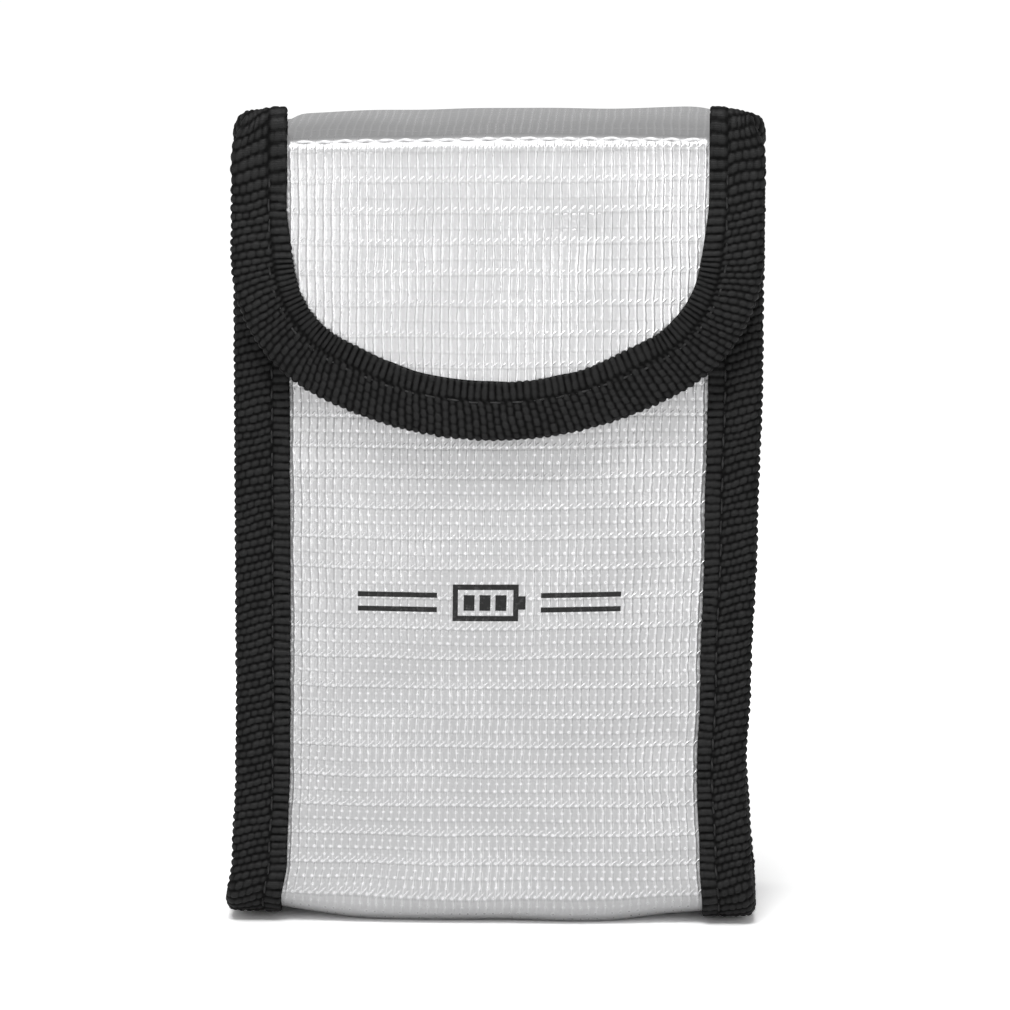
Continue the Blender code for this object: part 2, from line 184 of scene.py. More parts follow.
class Path:
    """A line through the corners (y, z), rounded with the given radii, measured by length along it."""

    def __init__(self, corners, radii):
        points = [np.array(corners[0], float)]
        for before, corner, after, radius in zip(corners, corners[1:], corners[2:], radii):
            before, corner, after = (np.array(p, float) for p in (before, corner, after))
            arriving = (corner - before) / np.linalg.norm(corner - before)
            leaving = (after - corner) / np.linalg.norm(after - corner)
            centre = corner - radius * arriving + radius * leaving
            for angle in np.linspace(0, math.pi / 2, 25):
                turned = math.sin(angle) * arriving - math.cos(angle) * leaving
                points.append(centre + radius * turned)
        points.append(np.array(corners[-1], float))
        fine = [points[0]]
        for a, b in zip(points, points[1:]):
            steps = max(1, math.ceil(np.linalg.norm(b - a) / 0.5))
            fine += [a + (b - a) * k / steps for k in range(1, steps + 1)]
        self.points = np.array(fine)
        self.length_at = distances(self.points)
        self.length = self.length_at[-1]
        tangent = np.gradient(self.points, self.length_at, axis=0)
        tangent /= np.linalg.norm(tangent, axis=1)[:, None]
        self.normals = np.stack([tangent[:, 1], -tangent[:, 0]], axis=1)

    def at(self, s):
        """(y, z, normal y, normal z) at length s."""
        columns = np.concatenate([self.points, self.normals], axis=1).T
        return [np.interp(s, self.length_at, column) for column in columns]


BODY_TOP = 145.0
BODY_PATH = Path(
    [
        (-HALF_DEPTH, BODY_TOP),
        (-HALF_DEPTH, FLOOR_SEAM),
        (HALF_DEPTH, FLOOR_SEAM),
        (HALF_DEPTH, BODY_TOP),
    ],
    [FLOOR_CORNER, FLOOR_CORNER],
)
COVER_START = 130.0
COVER_END = 60.0
COVER_Z = LID_UNDERSIDE + 2.3
COVER_BACK_Y = HALF_DEPTH + SHELL_MIDDLE
COVER_FRONT_Y = FRONT_CREASE_Y - 0.35
BACK_BEND = 1.6
FRONT_BEND = 1.9
COVER_PATH = Path(
    [
        (COVER_BACK_Y, COVER_START),
        (COVER_BACK_Y, COVER_Z),
        (COVER_FRONT_Y, COVER_Z),
        (COVER_FRONT_Y, COVER_END),
    ],
    [BACK_BEND, FRONT_BEND],
)
BEND_SAVING = 1 - math.pi / 4  # length that half a rounded corner saves, per unit of its radius
BACK_CREASE_S = COVER_Z - COVER_START - BACK_BEND * BEND_SAVING
LID_LENGTH = COVER_BACK_Y - COVER_FRONT_Y - (BACK_BEND + FRONT_BEND) * BEND_SAVING
FRONT_CREASE_S = BACK_CREASE_S + LID_LENGTH
MID_LID_S = (BACK_CREASE_S + FRONT_CREASE_S) / 2


def front_s(z):
    """Length along the body path of a height on the front."""
    return BODY_TOP - z


def back_s(z):
    """Length along the body path of a height on the back."""
    return BODY_PATH.length - (BODY_TOP - z)


def flap_s(z):
    """Length along the cover path of a height on the flap."""
    return COVER_PATH.length - (z - COVER_END)


def flap_z(s):
    """Height on the flap of a length along the cover path."""
    return COVER_PATH.length - s + COVER_END


def cover_back_s(z):
    """Length along the cover path of a height on the back."""
    return z - COVER_START


FLAP_END_S = flap_s(CREASE_HEIGHT - FLAP_LENGTH)

# The flap's arch runs into a smaller circle at each corner, ARCH_TURN from straight down
CORNER_X = HALF_WIDTH - CORNER_RADIUS
CENTRES_APART = ARCH_RADIUS - CORNER_RADIUS
ARCH_TURN = math.asin(CORNER_X / CENTRES_APART)
ARCH_CENTRE_Z = CREASE_HEIGHT - FLAP_LENGTH + ARCH_RADIUS
CORNER_CENTRE_Z = ARCH_CENTRE_Z - CENTRES_APART * math.cos(ARCH_TURN)


# ---- swell of the walls


def dome(x):
    """Share of a wall's swell across its width: full in the middle, nothing at the seams."""
    return np.maximum(0, 1 - (x / STITCH_X) ** 2) ** 1.4


def plateau(x):
    """As dome, but flat apart from a rim along each seam."""
    return smoothstep((1 - np.abs(x) / STITCH_X) / PLATEAU_RIM)


def wall_swell(z, full):
    """How far the middle of a wall stands out at a height: most halfway up, where it is full."""
    start = FLOOR_SEAM + FLOOR_CORNER
    t = np.clip((z - start) / (CREASE_HEIGHT - start), 0, 1)
    straight = (1 - t) * FLOOR_SWELL + t * CREASE_SWELL
    return straight + (full - (FLOOR_SWELL + CREASE_SWELL) / 2) * 4 * t * (1 - t)


def placed(x, y, z):
    """The standing pouch's points for those of the pouch as cut."""
    return settle(np.stack(np.broadcast_arrays(x, y, z), axis=-1))


def settle(points):
    """The stand of a real sewn pouch: its right side drawn in low down, its left corner off the floor."""
    x, y, z = points[..., 0], points[..., 1], points[..., 2]
    right = smoothstep(0.5 + x / 90)
    outer = 0.65 + 0.35 * smoothstep((x - 36) / 11)
    heights = [0, 3, 12, 28, 45, 71, 100, 145]
    shift = right * outer * ease(z, heights, [-1.4, -1.4, -2.2, -3.2, -2.4, -1.4, -0.6, -0.4])
    shift = shift + (1 - right) * ease(z, heights, [-2.1, -1.8, -0.5, 0.2, 0.4, 0.4, 0.4, 0.5])
    lift = 0.5 * smoothstep((-x - 18) / 28) * np.exp(-np.maximum(z, 0) / 9)
    lift = lift + 0.011 * x * smoothstep(z / 145)
    return np.stack([x + shift, y, z + lift], axis=-1)


def body_point(x, s, layer):
    """A point of the body: x, length along the body path, and distance outwards."""
    y, z, normal_y, normal_z = BODY_PATH.at(s)
    front = s < BODY_PATH.length / 2
    wall = np.where(front, wall_swell(z, FRONT_SWELL), wall_swell(z, BACK_SWELL))
    floor_share = np.clip(-normal_z, 0, 1)
    across = (1 - floor_share) * wall * dome(x) + floor_share * FLOOR_SWELL * plateau(x)
    out = layer + across
    return placed(x, y + out * normal_y, z + out * normal_z)


def cover_swell(x, s):
    """The cover's swell: the walls' own on the back and the flap, and a flat-topped rise on the lid."""
    z = COVER_PATH.at(s)[1]
    back, front = BACK_CREASE_S, FRONT_CREASE_S
    back_wall = wall_swell(z, BACK_SWELL) * smoothstep((back - s) / 8)
    front_wall = wall_swell(z, FRONT_SWELL) * smoothstep((s - front + 12) / 12)
    wall = np.where(s < MID_LID_S, back_wall, front_wall)
    places = [back - 6, back, back + 7, MID_LID_S + 8, front - 4, front + 2]
    lid = ease(s, places, [0, 0.1, 1.9, 1.0, -0.5, 0]) * np.maximum(0, 1 - (x / STITCH_X) ** 16)
    hang = FLAP_HANG * smoothstep((s - front) / 20) * np.clip((s - front) / FLAP_LENGTH, 0, 1)
    return wall * dome(x) + lid + hang


def corner_pull(s):
    """How near a length is to either crease, from 0 to 1."""
    return bell(s - BACK_CREASE_S, 2.4) + bell(s - FRONT_CREASE_S, 2.4)


def cover_point(x, s, layer, rise_from=37.0):
    """A point of the cover: x, length along the cover path, and distance outwards.

    Near each side the cover rises over the front crease, from rise_from outwards, and more so on the left.
    Over the back crease its plies are pressed together, so that the lid folds back on a thin line. At both
    creases the webbing is pulled in.
    """
    y, z, normal_y, normal_z = COVER_PATH.at(s)
    out = layer * (1 - 0.6 * bell(s - BACK_CREASE_S, 3.5)) + cover_swell(x, s)
    side = np.abs(x)
    left = smoothstep(-x / 30)
    edge = smoothstep((side - rise_from) / 3)
    outermost = smoothstep((side - 38) / 9)
    on_lid = smoothstep((s - BACK_CREASE_S) / 6) * smoothstep((FRONT_CREASE_S - s) / 6)
    crest = edge * (4.2 + 0.6 * left) - (1.2 - 0.4 * left) * outermost
    rise = crest * bell(s - FRONT_CREASE_S, 6) - (0.4 * edge + 0.7 * outermost) * on_lid
    x = x - np.sign(x) * 2.0 * corner_pull(s) * smoothstep((side - 41) / 7)
    return placed(x, y + out * normal_y, z + rise + out * normal_z)


# ---- meshes

STITCH_RINGS = 9
STITCH_SIDES = 8


def volume(vertices, faces):
    """Signed volume inside closed faces, by a fan of triangles from each face's first corner."""
    triangles = [(f[0], f[i], f[i + 1]) for f in faces for i in range(1, len(f) - 1)]
    corners = vertices[np.array(triangles)]
    return float((corners[:, 0] * np.cross(corners[:, 1], corners[:, 2])).sum() / 6)


def add_mesh(name, vertices, faces, material, sharp=40, weave=None, lift=None):
    """An object from points in millimetres, smooth apart from its sharp edges.

    weave and lift are what its material reads at each point: the place in the weave, and the height of it.
    """
    vertices = np.asarray(vertices, float)
    faces = [list(map(int, face)) for face in faces]
    if volume(vertices, faces) < 0:
        faces = [face[::-1] for face in faces]
    mesh = bpy.data.meshes.new(name)
    mesh.from_pydata((vertices * MM).tolist(), [], faces)
    for key, kind, target, values in (
        ("weave", "FLOAT_VECTOR", "vector", weave),
        ("lift", "FLOAT", "value", lift),
    ):
        if values is not None:
            layer = mesh.attributes.new(key, kind, "POINT")
            layer.data.foreach_set(target, np.asarray(values, np.float32).ravel())
    mesh.validate()
    mesh.shade_smooth()
    mesh.set_sharp_from_angle(angle=math.radians(sharp))
    mesh.materials.append(material)
    made = bpy.data.objects.new(name, mesh)
    bpy.context.scene.collection.objects.link(made)
    return made


def weave_at(u, v, fade=1.0):
    """What a cloth's material reads at each point: across the weave, along it, and how strongly it shows."""
    return np.stack(np.broadcast_arrays(u, v, fade), axis=-1)


def grid_faces(rows, columns, wrap=False):
    """Quads between neighbouring points of a grid, as an array."""
    i = np.arange(rows - 1)[:, None]
    j = np.arange(columns if wrap else columns - 1)[None, :]
    k = (j + 1) % columns
    corners = [i * columns + j, i * columns + k, (i + 1) * columns + k, (i + 1) * columns + j]
    return np.stack(np.broadcast_arrays(*corners), axis=-1).reshape(-1, 4)


def merged(vertices, faces):
    """The faces on points merged where they coincide, without those that have no area left."""
    _, first, index = np.unique(np.round(vertices, 3), axis=0, return_index=True, return_inverse=True)
    index = index.reshape(-1)
    kept = []
    for face in index[faces]:
        corners = [c for c, after in zip(face, np.roll(face, -1)) if c != after]
        if len(set(corners)) > 2:
            kept.append(corners)
    return first, kept


def corner_normals(points, faces):
    """Outward directions at the points of a surface, from the faces round each."""
    total = np.zeros_like(points)
    for size in (3, 4):
        chosen = np.array([f for f in faces if len(f) == size])
        if not len(chosen):
            continue
        a, b = points[chosen[:, 0]], points[chosen[:, 1]]
        c, d = points[chosen[:, 2]], points[chosen[:, -1]]
        normal = np.cross(c - a, d - b) if size == 4 else np.cross(b - a, c - a)
        for k in range(size):
            np.add.at(total, chosen[:, k], normal)
    return total / np.maximum(np.linalg.norm(total, axis=1, keepdims=True), 1e-12)


def closed_sheet(name, vertices, faces, thickness, weave, material):
    """A sheet of cloth with both faces and its rim, about a surface of middle points."""
    first, faces = merged(vertices, faces)
    points = vertices[first]
    normal = corner_normals(points, faces) * thickness / 2
    count = len(points)
    directed = {}
    for face in faces:
        for a, b in zip(face, face[1:] + face[:1]):
            directed[(a, b)] = directed.get((a, b), 0) + 1
    rim = [[b, a, a + count, b + count] for a, b in directed if (b, a) not in directed]
    under = [[c + count for c in reversed(face)] for face in faces]
    weave = np.concatenate([weave[first]] * 2)
    both = np.concatenate([points + normal, points - normal])
    return add_mesh(name, both, faces + under + rim, material, weave=weave)


def sheet_object(name, middle, thickness, weave, material):
    """A closed sheet about a grid of middle points."""
    weave = np.broadcast_to(weave, middle.shape)
    faces = grid_faces(*middle.shape[:2])
    return closed_sheet(name, middle.reshape(-1, 3), faces, thickness, weave.reshape(-1, 3), material)


def webbing_corners(inner_edge, low, high, slot_low, slot_high, lip):
    """Corners (distance across, layer) of folded webbing: those of its outer side, and those of its slot."""
    radius = (high - low) / 2
    outer = [(inner_edge, slot_high + CHAMFER), (inner_edge + CHAMFER, high)]
    for angle in np.linspace(math.pi / 2, -math.pi / 2, 13):
        outer.append((radius * math.cos(angle) - radius, (high + low) / 2 + radius * math.sin(angle)))
    if lip:
        lip_edge, lip_end = lip
        face = lip_edge + WEBBING
        outer += [(face + 0.4, low), (face, low - 0.4)]
        outer += [(face, lip_end + CHAMFER), (face - CHAMFER, lip_end)]
        slot = [(lip_edge, lip_end), (lip_edge, slot_low)]
    else:
        outer += [(inner_edge + CHAMFER, low), (inner_edge, slot_low - CHAMFER)]
        slot = [(inner_edge, slot_low)]
    slot += [(-0.95, slot_low), (-0.95, slot_high), (inner_edge, slot_high)]
    return np.array(outer), np.array(slot)


def webbing_outline(inner_edge, slot_low, slot_high, lip=None):
    """Outline of folded webbing: arrays of points (distance across, layer), outward normals, distance round.

    Distances across run from the fold at 0 to negative values inwards. The outer side comes first and
    carries the weave; the slot side has few points, with a distance round of -1. A lip (its edge, its end)
    turns the inner leg to stand at a right angle.
    """
    low, high = slot_low - WEBBING, slot_high + WEBBING
    corners, slot = webbing_corners(inner_edge, low, high, slot_low, slot_high, lip)
    lengths = distances(corners)
    turn = -inner_edge + math.pi * (high - low) / 4 + 0.5
    shown = spaced(0, turn, SHOWN_STEP)
    round_it = np.concatenate([shown, spaced(turn, lengths[-1], HIDDEN_STEP)[1:]])
    outer = resampled(corners, lengths, round_it)
    normal = directions(outer)[:, ::-1] * (-1, 1)
    points = np.concatenate([outer, slot])
    normals = np.concatenate([normal, np.zeros_like(slot)])
    return points, normals, np.concatenate([round_it, np.full(len(slot), -1.0)])


def scatter(*cells):
    """A repeatable random number from 0 to 1 for each whole-numbered cell."""
    total = sum(cell * weight for cell, weight in zip(cells, (12.9898, 78.233)))
    wave = np.sin(total) * 43758.5453
    return wave - np.floor(wave)


def webbing_relief(along, round_it, across, tilt, selvedge):
    """Height of the webbing's weave: staggered bumps in leaning rows, and a selvedge."""
    depth_in = np.minimum(np.abs(across), FLANGE)
    past_stitch = np.abs(across) > FLANGE
    row = (along + tilt * depth_in + 0.35 * ROW_PITCH * past_stitch) / ROW_PITCH
    row = row + 0.1 * ripple(along, round_it, 7, 5)
    row_number = np.floor(row + 0.5)
    bump = round_it / BUMP_PITCH + 0.5 * (row_number % 2) + 0.12 * ripple(along, round_it, 5, 6)
    bump_number = np.floor(bump + 0.5)
    chance = scatter(row_number, bump_number)
    row_round = np.cos(math.pi * (row - row_number)) ** 0.55
    bump_round = np.maximum(0, np.cos(math.pi * (bump - bump_number))) ** 0.5
    inner = 0.35 * past_stitch
    height = row_round * (0.42 + inner + (0.58 - inner) * bump_round) * (0.72 + 0.28 * chance)
    groove = bell(np.abs(across) - FLANGE, 0.35)
    height = height * (1 - 0.35 * groove) - 0.08 * groove
    near_edge = np.minimum(round_it, selvedge - round_it)
    return height * smoothstep(0.35 + near_edge / 0.8)


def webbing_object(name, outline, runs, place, tilt):
    """Folded webbing swept along runs; place(across, layer) gives the points of its outline at each run."""
    points, normals, round_it = outline
    outer = round_it >= 0
    along = runs[:, None]
    relief = webbing_relief(along, round_it[None, :], points[None, :, 0], tilt, round_it.max())
    relief = np.where(outer[None, :], relief, 0)
    height = ROW_RELIEF * (relief - 0.55) * outer
    across = points[None, :, 0] + height * normals[None, :, 0]
    layer = points[None, :, 1] + height * normals[None, :, 1]
    vertices = place(across, layer).reshape(-1, 3)
    rows, columns = across.shape
    faces = grid_faces(rows, columns, wrap=True).tolist()
    faces.append(list(range(columns))[::-1])
    faces.append(list(range((rows - 1) * columns, rows * columns)))
    weave = weave_at(round_it[None, :], along, 0.0)
    return add_mesh(name, vertices, faces, BLACK_WEBBING, sharp=70, weave=weave, lift=relief)


def thread_object(name, centres, outwards, material, pitch=3.6, length=3.1, radius=0.3, arch=0.34, sink=0.22):
    """A row of separate stitches along a line of points; each dips into the cloth at both ends."""
    lengths = distances(centres)
    rng = np.random.default_rng(3)
    count = int(lengths[-1] // pitch)
    start = (lengths[-1] - (count - 1) * pitch - length) / 2
    t = np.linspace(0, 1, STITCH_RINGS)
    vertices = []
    faces = []
    for stitch in range(count):
        wander = rng.uniform(-0.12, 0.12, 2)
        places = start + stitch * pitch + length * t
        line = resampled(centres, lengths, places)
        out = resampled(outwards, lengths, places)
        side = np.cross(directions(line), out)
        line = line + out * (arch * np.sin(math.pi * t) - sink)[:, None]
        line = line + side * (wander[0] + (wander[1] - wander[0]) * t)[:, None]
        size = radius * np.sin(math.pi * (0.12 + 0.76 * t)) ** 0.5
        base = len(vertices)
        for angle in np.linspace(0, 2 * math.pi, STITCH_SIDES + 1)[:-1]:
            ring = line + size[:, None] * (math.cos(angle) * side + math.sin(angle) * out)
            vertices += ring.tolist()
        index = base + np.arange(STITCH_SIDES * STITCH_RINGS).reshape(STITCH_SIDES, STITCH_RINGS)
        after = np.roll(index, -1, axis=0)
        tube = np.stack([index[:, :-1], index[:, 1:], after[:, 1:], after[:, :-1]], axis=-1)
        faces += tube.reshape(-1, 4).tolist()
        faces += [index[::-1, 0].tolist(), index[:, -1].tolist()]
    return add_mesh(name, np.array(vertices), faces, material, sharp=60)


# ---- materials


class Value:
    """A number made by a shader node; arithmetic on it adds Math nodes."""

    def __init__(self, nodes, socket):
        self.nodes = nodes
        self.socket = socket

    def __add__(self, other):
        return self.nodes.maths("ADD", self, other)

    def __sub__(self, other):
        return self.nodes.maths("SUBTRACT", self, other)

    def __rsub__(self, other):
        return self.nodes.maths("SUBTRACT", other, self)

    def __mul__(self, other):
        return self.nodes.maths("MULTIPLY", self, other)


class Nodes:
    """Short spellings for building a shader."""

    def __init__(self, tree):
        self.tree = tree

    def new(self, kind, **settings):
        node = self.tree.nodes.new(kind)
        for key, value in settings.items():
            setattr(node, key, value)
        return node

    def link(self, value, socket):
        """Joins a Value or a socket to a socket, or sets the socket to a plain number or colour."""
        if isinstance(value, Value):
            value = value.socket
        if isinstance(value, bpy.types.NodeSocket):
            self.tree.links.new(value, socket)
        else:
            socket.default_value = value

    def maths(self, operation, *values):
        node = self.new("ShaderNodeMath", operation=operation)
        for value, socket in zip(values, node.inputs):
            self.link(value, socket)
        return Value(self, node.outputs[0])

    def fraction(self, value):
        return self.maths("FRACT", value)

    def largest(self, first, *others):
        for other in others:
            first = self.maths("MAXIMUM", first, other)
        return first

    def hump(self, value, width):
        """exp(-(value / width)^2)"""
        scaled = value * (1 / width)
        return self.maths("EXPONENT", scaled * scaled * -1.0)

    def ramp(self, value, start, end):
        """A smooth step from 0 at start to 1 at end."""
        node = self.new("ShaderNodeMapRange", interpolation_type="SMOOTHSTEP")
        self.link(value, node.inputs["Value"])
        node.inputs["From Min"].default_value = start
        node.inputs["From Max"].default_value = end
        return Value(self, node.outputs["Result"])

    def blend(self, factor, low, high):
        """A colour between two colours."""
        node = self.new("ShaderNodeMix", data_type="RGBA")
        self.link(factor, node.inputs["Factor"])
        colours = [s for s in node.inputs if s.type == "RGBA"]
        for socket, colour in zip(colours, (low, high)):
            self.link(colour, socket)
        return next(s for s in node.outputs if s.type == "RGBA")

    def scaled(self, colour, factor):
        """A colour times a number."""
        node = self.new("ShaderNodeVectorMath", operation="SCALE")
        self.link(colour, node.inputs[0])
        self.link(factor, node.inputs["Scale"])
        return node.outputs[0]

    def place(self):
        return self.new("ShaderNodeNewGeometry").outputs["Position"]

    def seen(self):
        """1 for what the camera looks at directly."""
        return Value(self, self.new("ShaderNodeLightPath").outputs["Is Camera Ray"])

    def weave(self):
        """The place in the weave: as a vector, its u, its v, and how strongly the weave shows."""
        vector = self.new("ShaderNodeAttribute", attribute_name="weave").outputs["Vector"]
        split = self.new("ShaderNodeSeparateXYZ")
        self.tree.links.new(vector, split.inputs[0])
        return vector, *(Value(self, socket) for socket in split.outputs)

    def lift(self):
        return Value(self, self.new("ShaderNodeAttribute", attribute_name="lift").outputs["Fac"])

    def noise(self, vector, scale, detail=2.0):
        node = self.new("ShaderNodeTexNoise")
        self.tree.links.new(vector, node.inputs["Vector"])
        node.inputs["Scale"].default_value = scale
        node.inputs["Detail"].default_value = detail
        return Value(self, node.outputs["Fac"])

    def bump(self, height, distance, strength):
        node = self.new("ShaderNodeBump")
        node.inputs["Distance"].default_value = distance
        node.inputs["Strength"].default_value = strength
        self.link(height, node.inputs["Height"])
        return node.outputs["Normal"]

    def finish(self, colour, roughness, relief, depth, strength=1.0):
        """Gives the material its colour, its roughness, and its bump of the given depth in metres."""
        shader = self.tree.nodes["Principled BSDF"]
        self.link(colour, shader.inputs["Base Color"])
        self.link(roughness, shader.inputs["Roughness"])
        self.link(self.bump(relief, depth, strength), shader.inputs["Normal"])


def new_material(name, **sockets):
    """A Principled material and its nodes; sockets set its plain values."""
    made = bpy.data.materials.new(name)
    made.use_nodes = True
    shader = made.node_tree.nodes["Principled BSDF"]
    for key, value in sockets.items():
        shader.inputs[key.replace("_", " ")].default_value = value
    return made, Nodes(made.node_tree)


def grey(level):
    return (level, level, level * 1.01, 1)


def painted_glints(n, vector, rib_at, row_at, between, ribs, dashes):
    """Painted highlights: white glints up the ribs, and short ones where they cross the yarns."""
    shown = n.ramp(n.noise(vector, 0.035, 1.0), 0.35, 0.65)
    patchy = n.ramp(n.noise(vector, 0.6, 3.0), 0.3, 0.62)
    line = n.hump(rib_at + 0.04, 0.14) * (shown * 0.5 + 0.5) * ribs
    second = n.hump(rib_at - 0.27, 0.05) * patchy * shown * ribs
    dash = n.hump(rib_at + 0.22, 0.2) * n.hump(row_at, 0.09)
    dot = n.hump(rib_at, 0.15) * n.hump(between, 0.08)
    run = n.hump(rib_at, 0.1) * n.hump(between + 0.12, 0.2) * shown * 0.8
    short = n.largest(dash, dot, run) * (patchy * 0.55 + 0.45) * dashes
    return n.largest(line, second, short)


def silver_cloth(name, ribs, dashes, field, tone):
    """Silver film over a leno scrim: ribs up the cloth, cross yarns under it, and short slants where the ribs
    step over. Its colour carries painted highlights on the ribs and slants, and painted shade along the cross
    yarns. ribs and dashes are the strengths of the painted highlights, and field is the grey between them;
    tone(nodes, v) darkens the film.
    """
    made, n = new_material(name, Metallic=0.6, Coat_Weight=0.3, Coat_Roughness=0.2, Specular_IOR_Level=0.5)
    vector, u, v, fade = n.weave()
    drift = (n.noise(vector, 0.11, 1.0) - 0.5) * 0.45
    wobble = (n.noise(vector, 0.9, 2.0) - 0.5) * 0.22
    across = u * (1 / RIB_PITCH) + drift + wobble
    row = v * (1 / YARN_PITCH) + n.noise(vector, 0.06, 1.0) * 0.3
    rib_at = n.fraction(across) - 0.5
    row_at = n.fraction(row) - 0.5
    between = n.fraction(row + 0.5) - 0.5
    stepping = n.maths("GREATER_THAN", n.fraction(row * 0.5), 0.5)
    slant_at = n.fraction(across + row_at * 1.9) - 0.5
    slant = n.hump(slant_at, 0.14) * n.hump(row_at + 0.1, 0.17) * stepping
    yarn = n.hump(row_at - 0.13, 0.075) * (stepping * 0.45 + 0.55)
    crinkle = n.noise(vector, 2.4, 4.0) * 0.35
    relief = (n.largest(n.hump(rib_at, 0.17), slant) + crinkle - yarn * 0.25) * fade

    # Painted highlights: the glints and the slants brighten the film's colour; painted shade darkens it along
    # the cross yarns.
    glints = n.largest(painted_glints(n, vector, rib_at, row_at, between, ribs, dashes), slant * 0.9)
    shade = (yarn - glints * 0.6) * 0.24
    level = (glints + 0.16 - shade) * fade + (1.0 - fade) * 0.2
    film = n.scaled(n.blend(level, grey(field), grey(0.98)), tone(n, v))
    rough = n.noise(vector, 0.9, 2.0) * 0.1 + 0.3 - glints * 0.1
    n.finish(film, rough, relief, 0.00016)
    return made


def even_tone(n, v):
    """Slow changes down the cloth."""
    return n.maths("SINE", v * 0.11) * 0.015 + 0.99


def cover_painted_shade(n, v):
    """Painted light and shade: the cover's film is painted lighter than the body's, darker towards the front
    crease of the lid, darker still just under that fold, and a little darker all over the flap.
    """
    front = FRONT_CREASE_S
    lid = n.ramp(v, BACK_CREASE_S + 4, front - 3) * n.ramp(v, front + 1.8, front + 0.4) * 0.36
    flap = n.ramp(v, front, front + 3) * 0.095 + n.ramp(v, front + 5, front + 13) * 0.05
    fold_shade = n.hump(v - (front + 1.6), 1.4) * 0.12
    return 1.1 - flap - (lid + fold_shade)


def black_webbing():
    """Ribbed polyester webbing: the ribs are geometry, the fine filaments are bump, and its colour carries
    painted shade in the gaps between the ribs.
    """
    made, n = new_material("black_webbing", Specular_IOR_Level=0.2)
    vector, _, v, _ = n.weave()
    lift = n.lift()
    filaments = n.maths("SINE", v * (2 * math.pi / 0.24) + n.noise(vector, 1.2) * 8.0)
    fuzz = n.noise(vector, 3.5, 4.0)
    # Painted shade and highlight: darkest in the gaps between the bumps, lighter on their tops, by their
    # height.
    level = n.ramp(lift, 0.3, 0.85) * (fuzz * 0.9 + 0.5)
    rough = 0.82 - n.ramp(lift, 0.2, 0.7) * 0.4 + fuzz * 0.2
    relief = filaments * 0.25 + fuzz * 0.8
    n.finish(n.blend(level, grey(0.0003), grey(0.0155)), rough, relief, 0.00008, 0.8)
    return made


def woven_cloth(name, dark, light, pitch):
    """A plain weave in one colour, for the lining."""
    made, n = new_material(name, Specular_IOR_Level=0.3, Sheen_Weight=0.1)
    vector, u, v, _ = n.weave()
    turns = 2 * math.pi / pitch
    checks = n.maths("COSINE", u * turns) * n.maths("COSINE", v * turns)
    noise = n.noise(vector, 0.8, 3.0)
    level = checks * 0.3 + 0.45 + (noise - 0.5) * 0.5
    n.finish(n.blend(level, dark, light), noise * 0.2 + 0.7, checks + noise, 0.00012, 0.8)
    return made


def thread(name, dark, light):
    """Twisted sewing thread."""
    made, n = new_material(name, Specular_IOR_Level=0.3)
    wave = n.new("ShaderNodeTexWave", bands_direction="DIAGONAL")
    n.link(n.place(), wave.inputs["Vector"])
    wave.inputs["Scale"].default_value = 1 / (THREAD_TWIST * MM) / 6
    twist = Value(n, wave.outputs["Fac"])
    n.finish(n.blend(twist, dark, light), twist * 0.2 + 0.45, twist, 0.0001, 0.7)
    return made


def loop_pile():
    """Fuzzy black loops."""
    made, n = new_material("loop_tape", Specular_IOR_Level=0.15, Sheen_Weight=0.25, Sheen_Roughness=0.5)
    fuzz = n.noise(n.weave()[0], 2.6, 5.0)
    n.finish(n.blend(n.ramp(fuzz, 0.3, 0.75), grey(0.002), grey(0.03)), fuzz * 0.2 + 0.75, fuzz, 0.0003)
    return made


def hook_plastic():
    """Moulded black nylon."""
    made, n = new_material("hook_tape", Specular_IOR_Level=0.4)
    grain = n.noise(n.place(), 900.0, 3.0)
    n.finish(n.blend(grain, grey(0.006), grey(0.022)), grain * 0.25 + 0.3, grain, 0.00008, 0.5)
    return made


def ink():
    """Black ink that thins a little over the ribs of the cloth."""
    made, n = new_material("ink", Specular_IOR_Level=0.4)
    vector, u, _, _ = n.weave()
    rib = n.hump(n.fraction(u * (1 / RIB_PITCH)) - 0.5, 0.12)
    worn = n.ramp(n.noise(vector, 1.6, 4.0), 0.5, 0.75) * (rib * 0.5 + 0.35)
    n.finish(n.blend(worn, grey(0.006), grey(0.09)), worn * 0.2 + 0.42, rib, 0.00012, 0.8)
    return made


# The body's and the cover's copies of one silver cloth differ by painted light: the cover's field is painted
# lighter, with stronger painted highlights up its ribs and weaker short ones.
SILVER_BODY = silver_cloth("silver_body", ribs=0.4, dashes=1.25, field=0.475, tone=even_tone)
SILVER_COVER = silver_cloth("silver_cover", ribs=0.95, dashes=0.4, field=0.55, tone=cover_painted_shade)
BLACK_WEBBING = black_webbing()
GREY_LINING = woven_cloth("lining_cloth", grey(0.2), grey(0.42), 0.9)
WHITE_THREAD = thread("white_thread", grey(0.72), grey(0.95))
BLACK_THREAD = thread("black_thread", grey(0.006), grey(0.03))
LOOP_PILE = loop_pile()
HOOK_PLASTIC = hook_plastic()
INK = ink()

# Materials of the sheets, each with a slot name that is not used
SILVER_OF_BODY = (SILVER_BODY, "silver_cloth")
SILVER_OF_COVER = (SILVER_COVER, "silver_cloth")
LINING_CLOTH = (GREY_LINING, "lining_cloth")


# ---- cloth pieces


def cover_fade(s):
    """The weave shows less on the lid and over its folds."""
    flap = smoothstep((s - FRONT_CREASE_S - 0.3) / 1.5)
    back = smoothstep((BACK_CREASE_S - 1 - s) / 1.5)
    lid = 0.6 * smoothstep((FRONT_CREASE_S - 2 - s) / 2)
    return np.maximum(0.15, np.maximum(np.maximum(flap, back), lid))


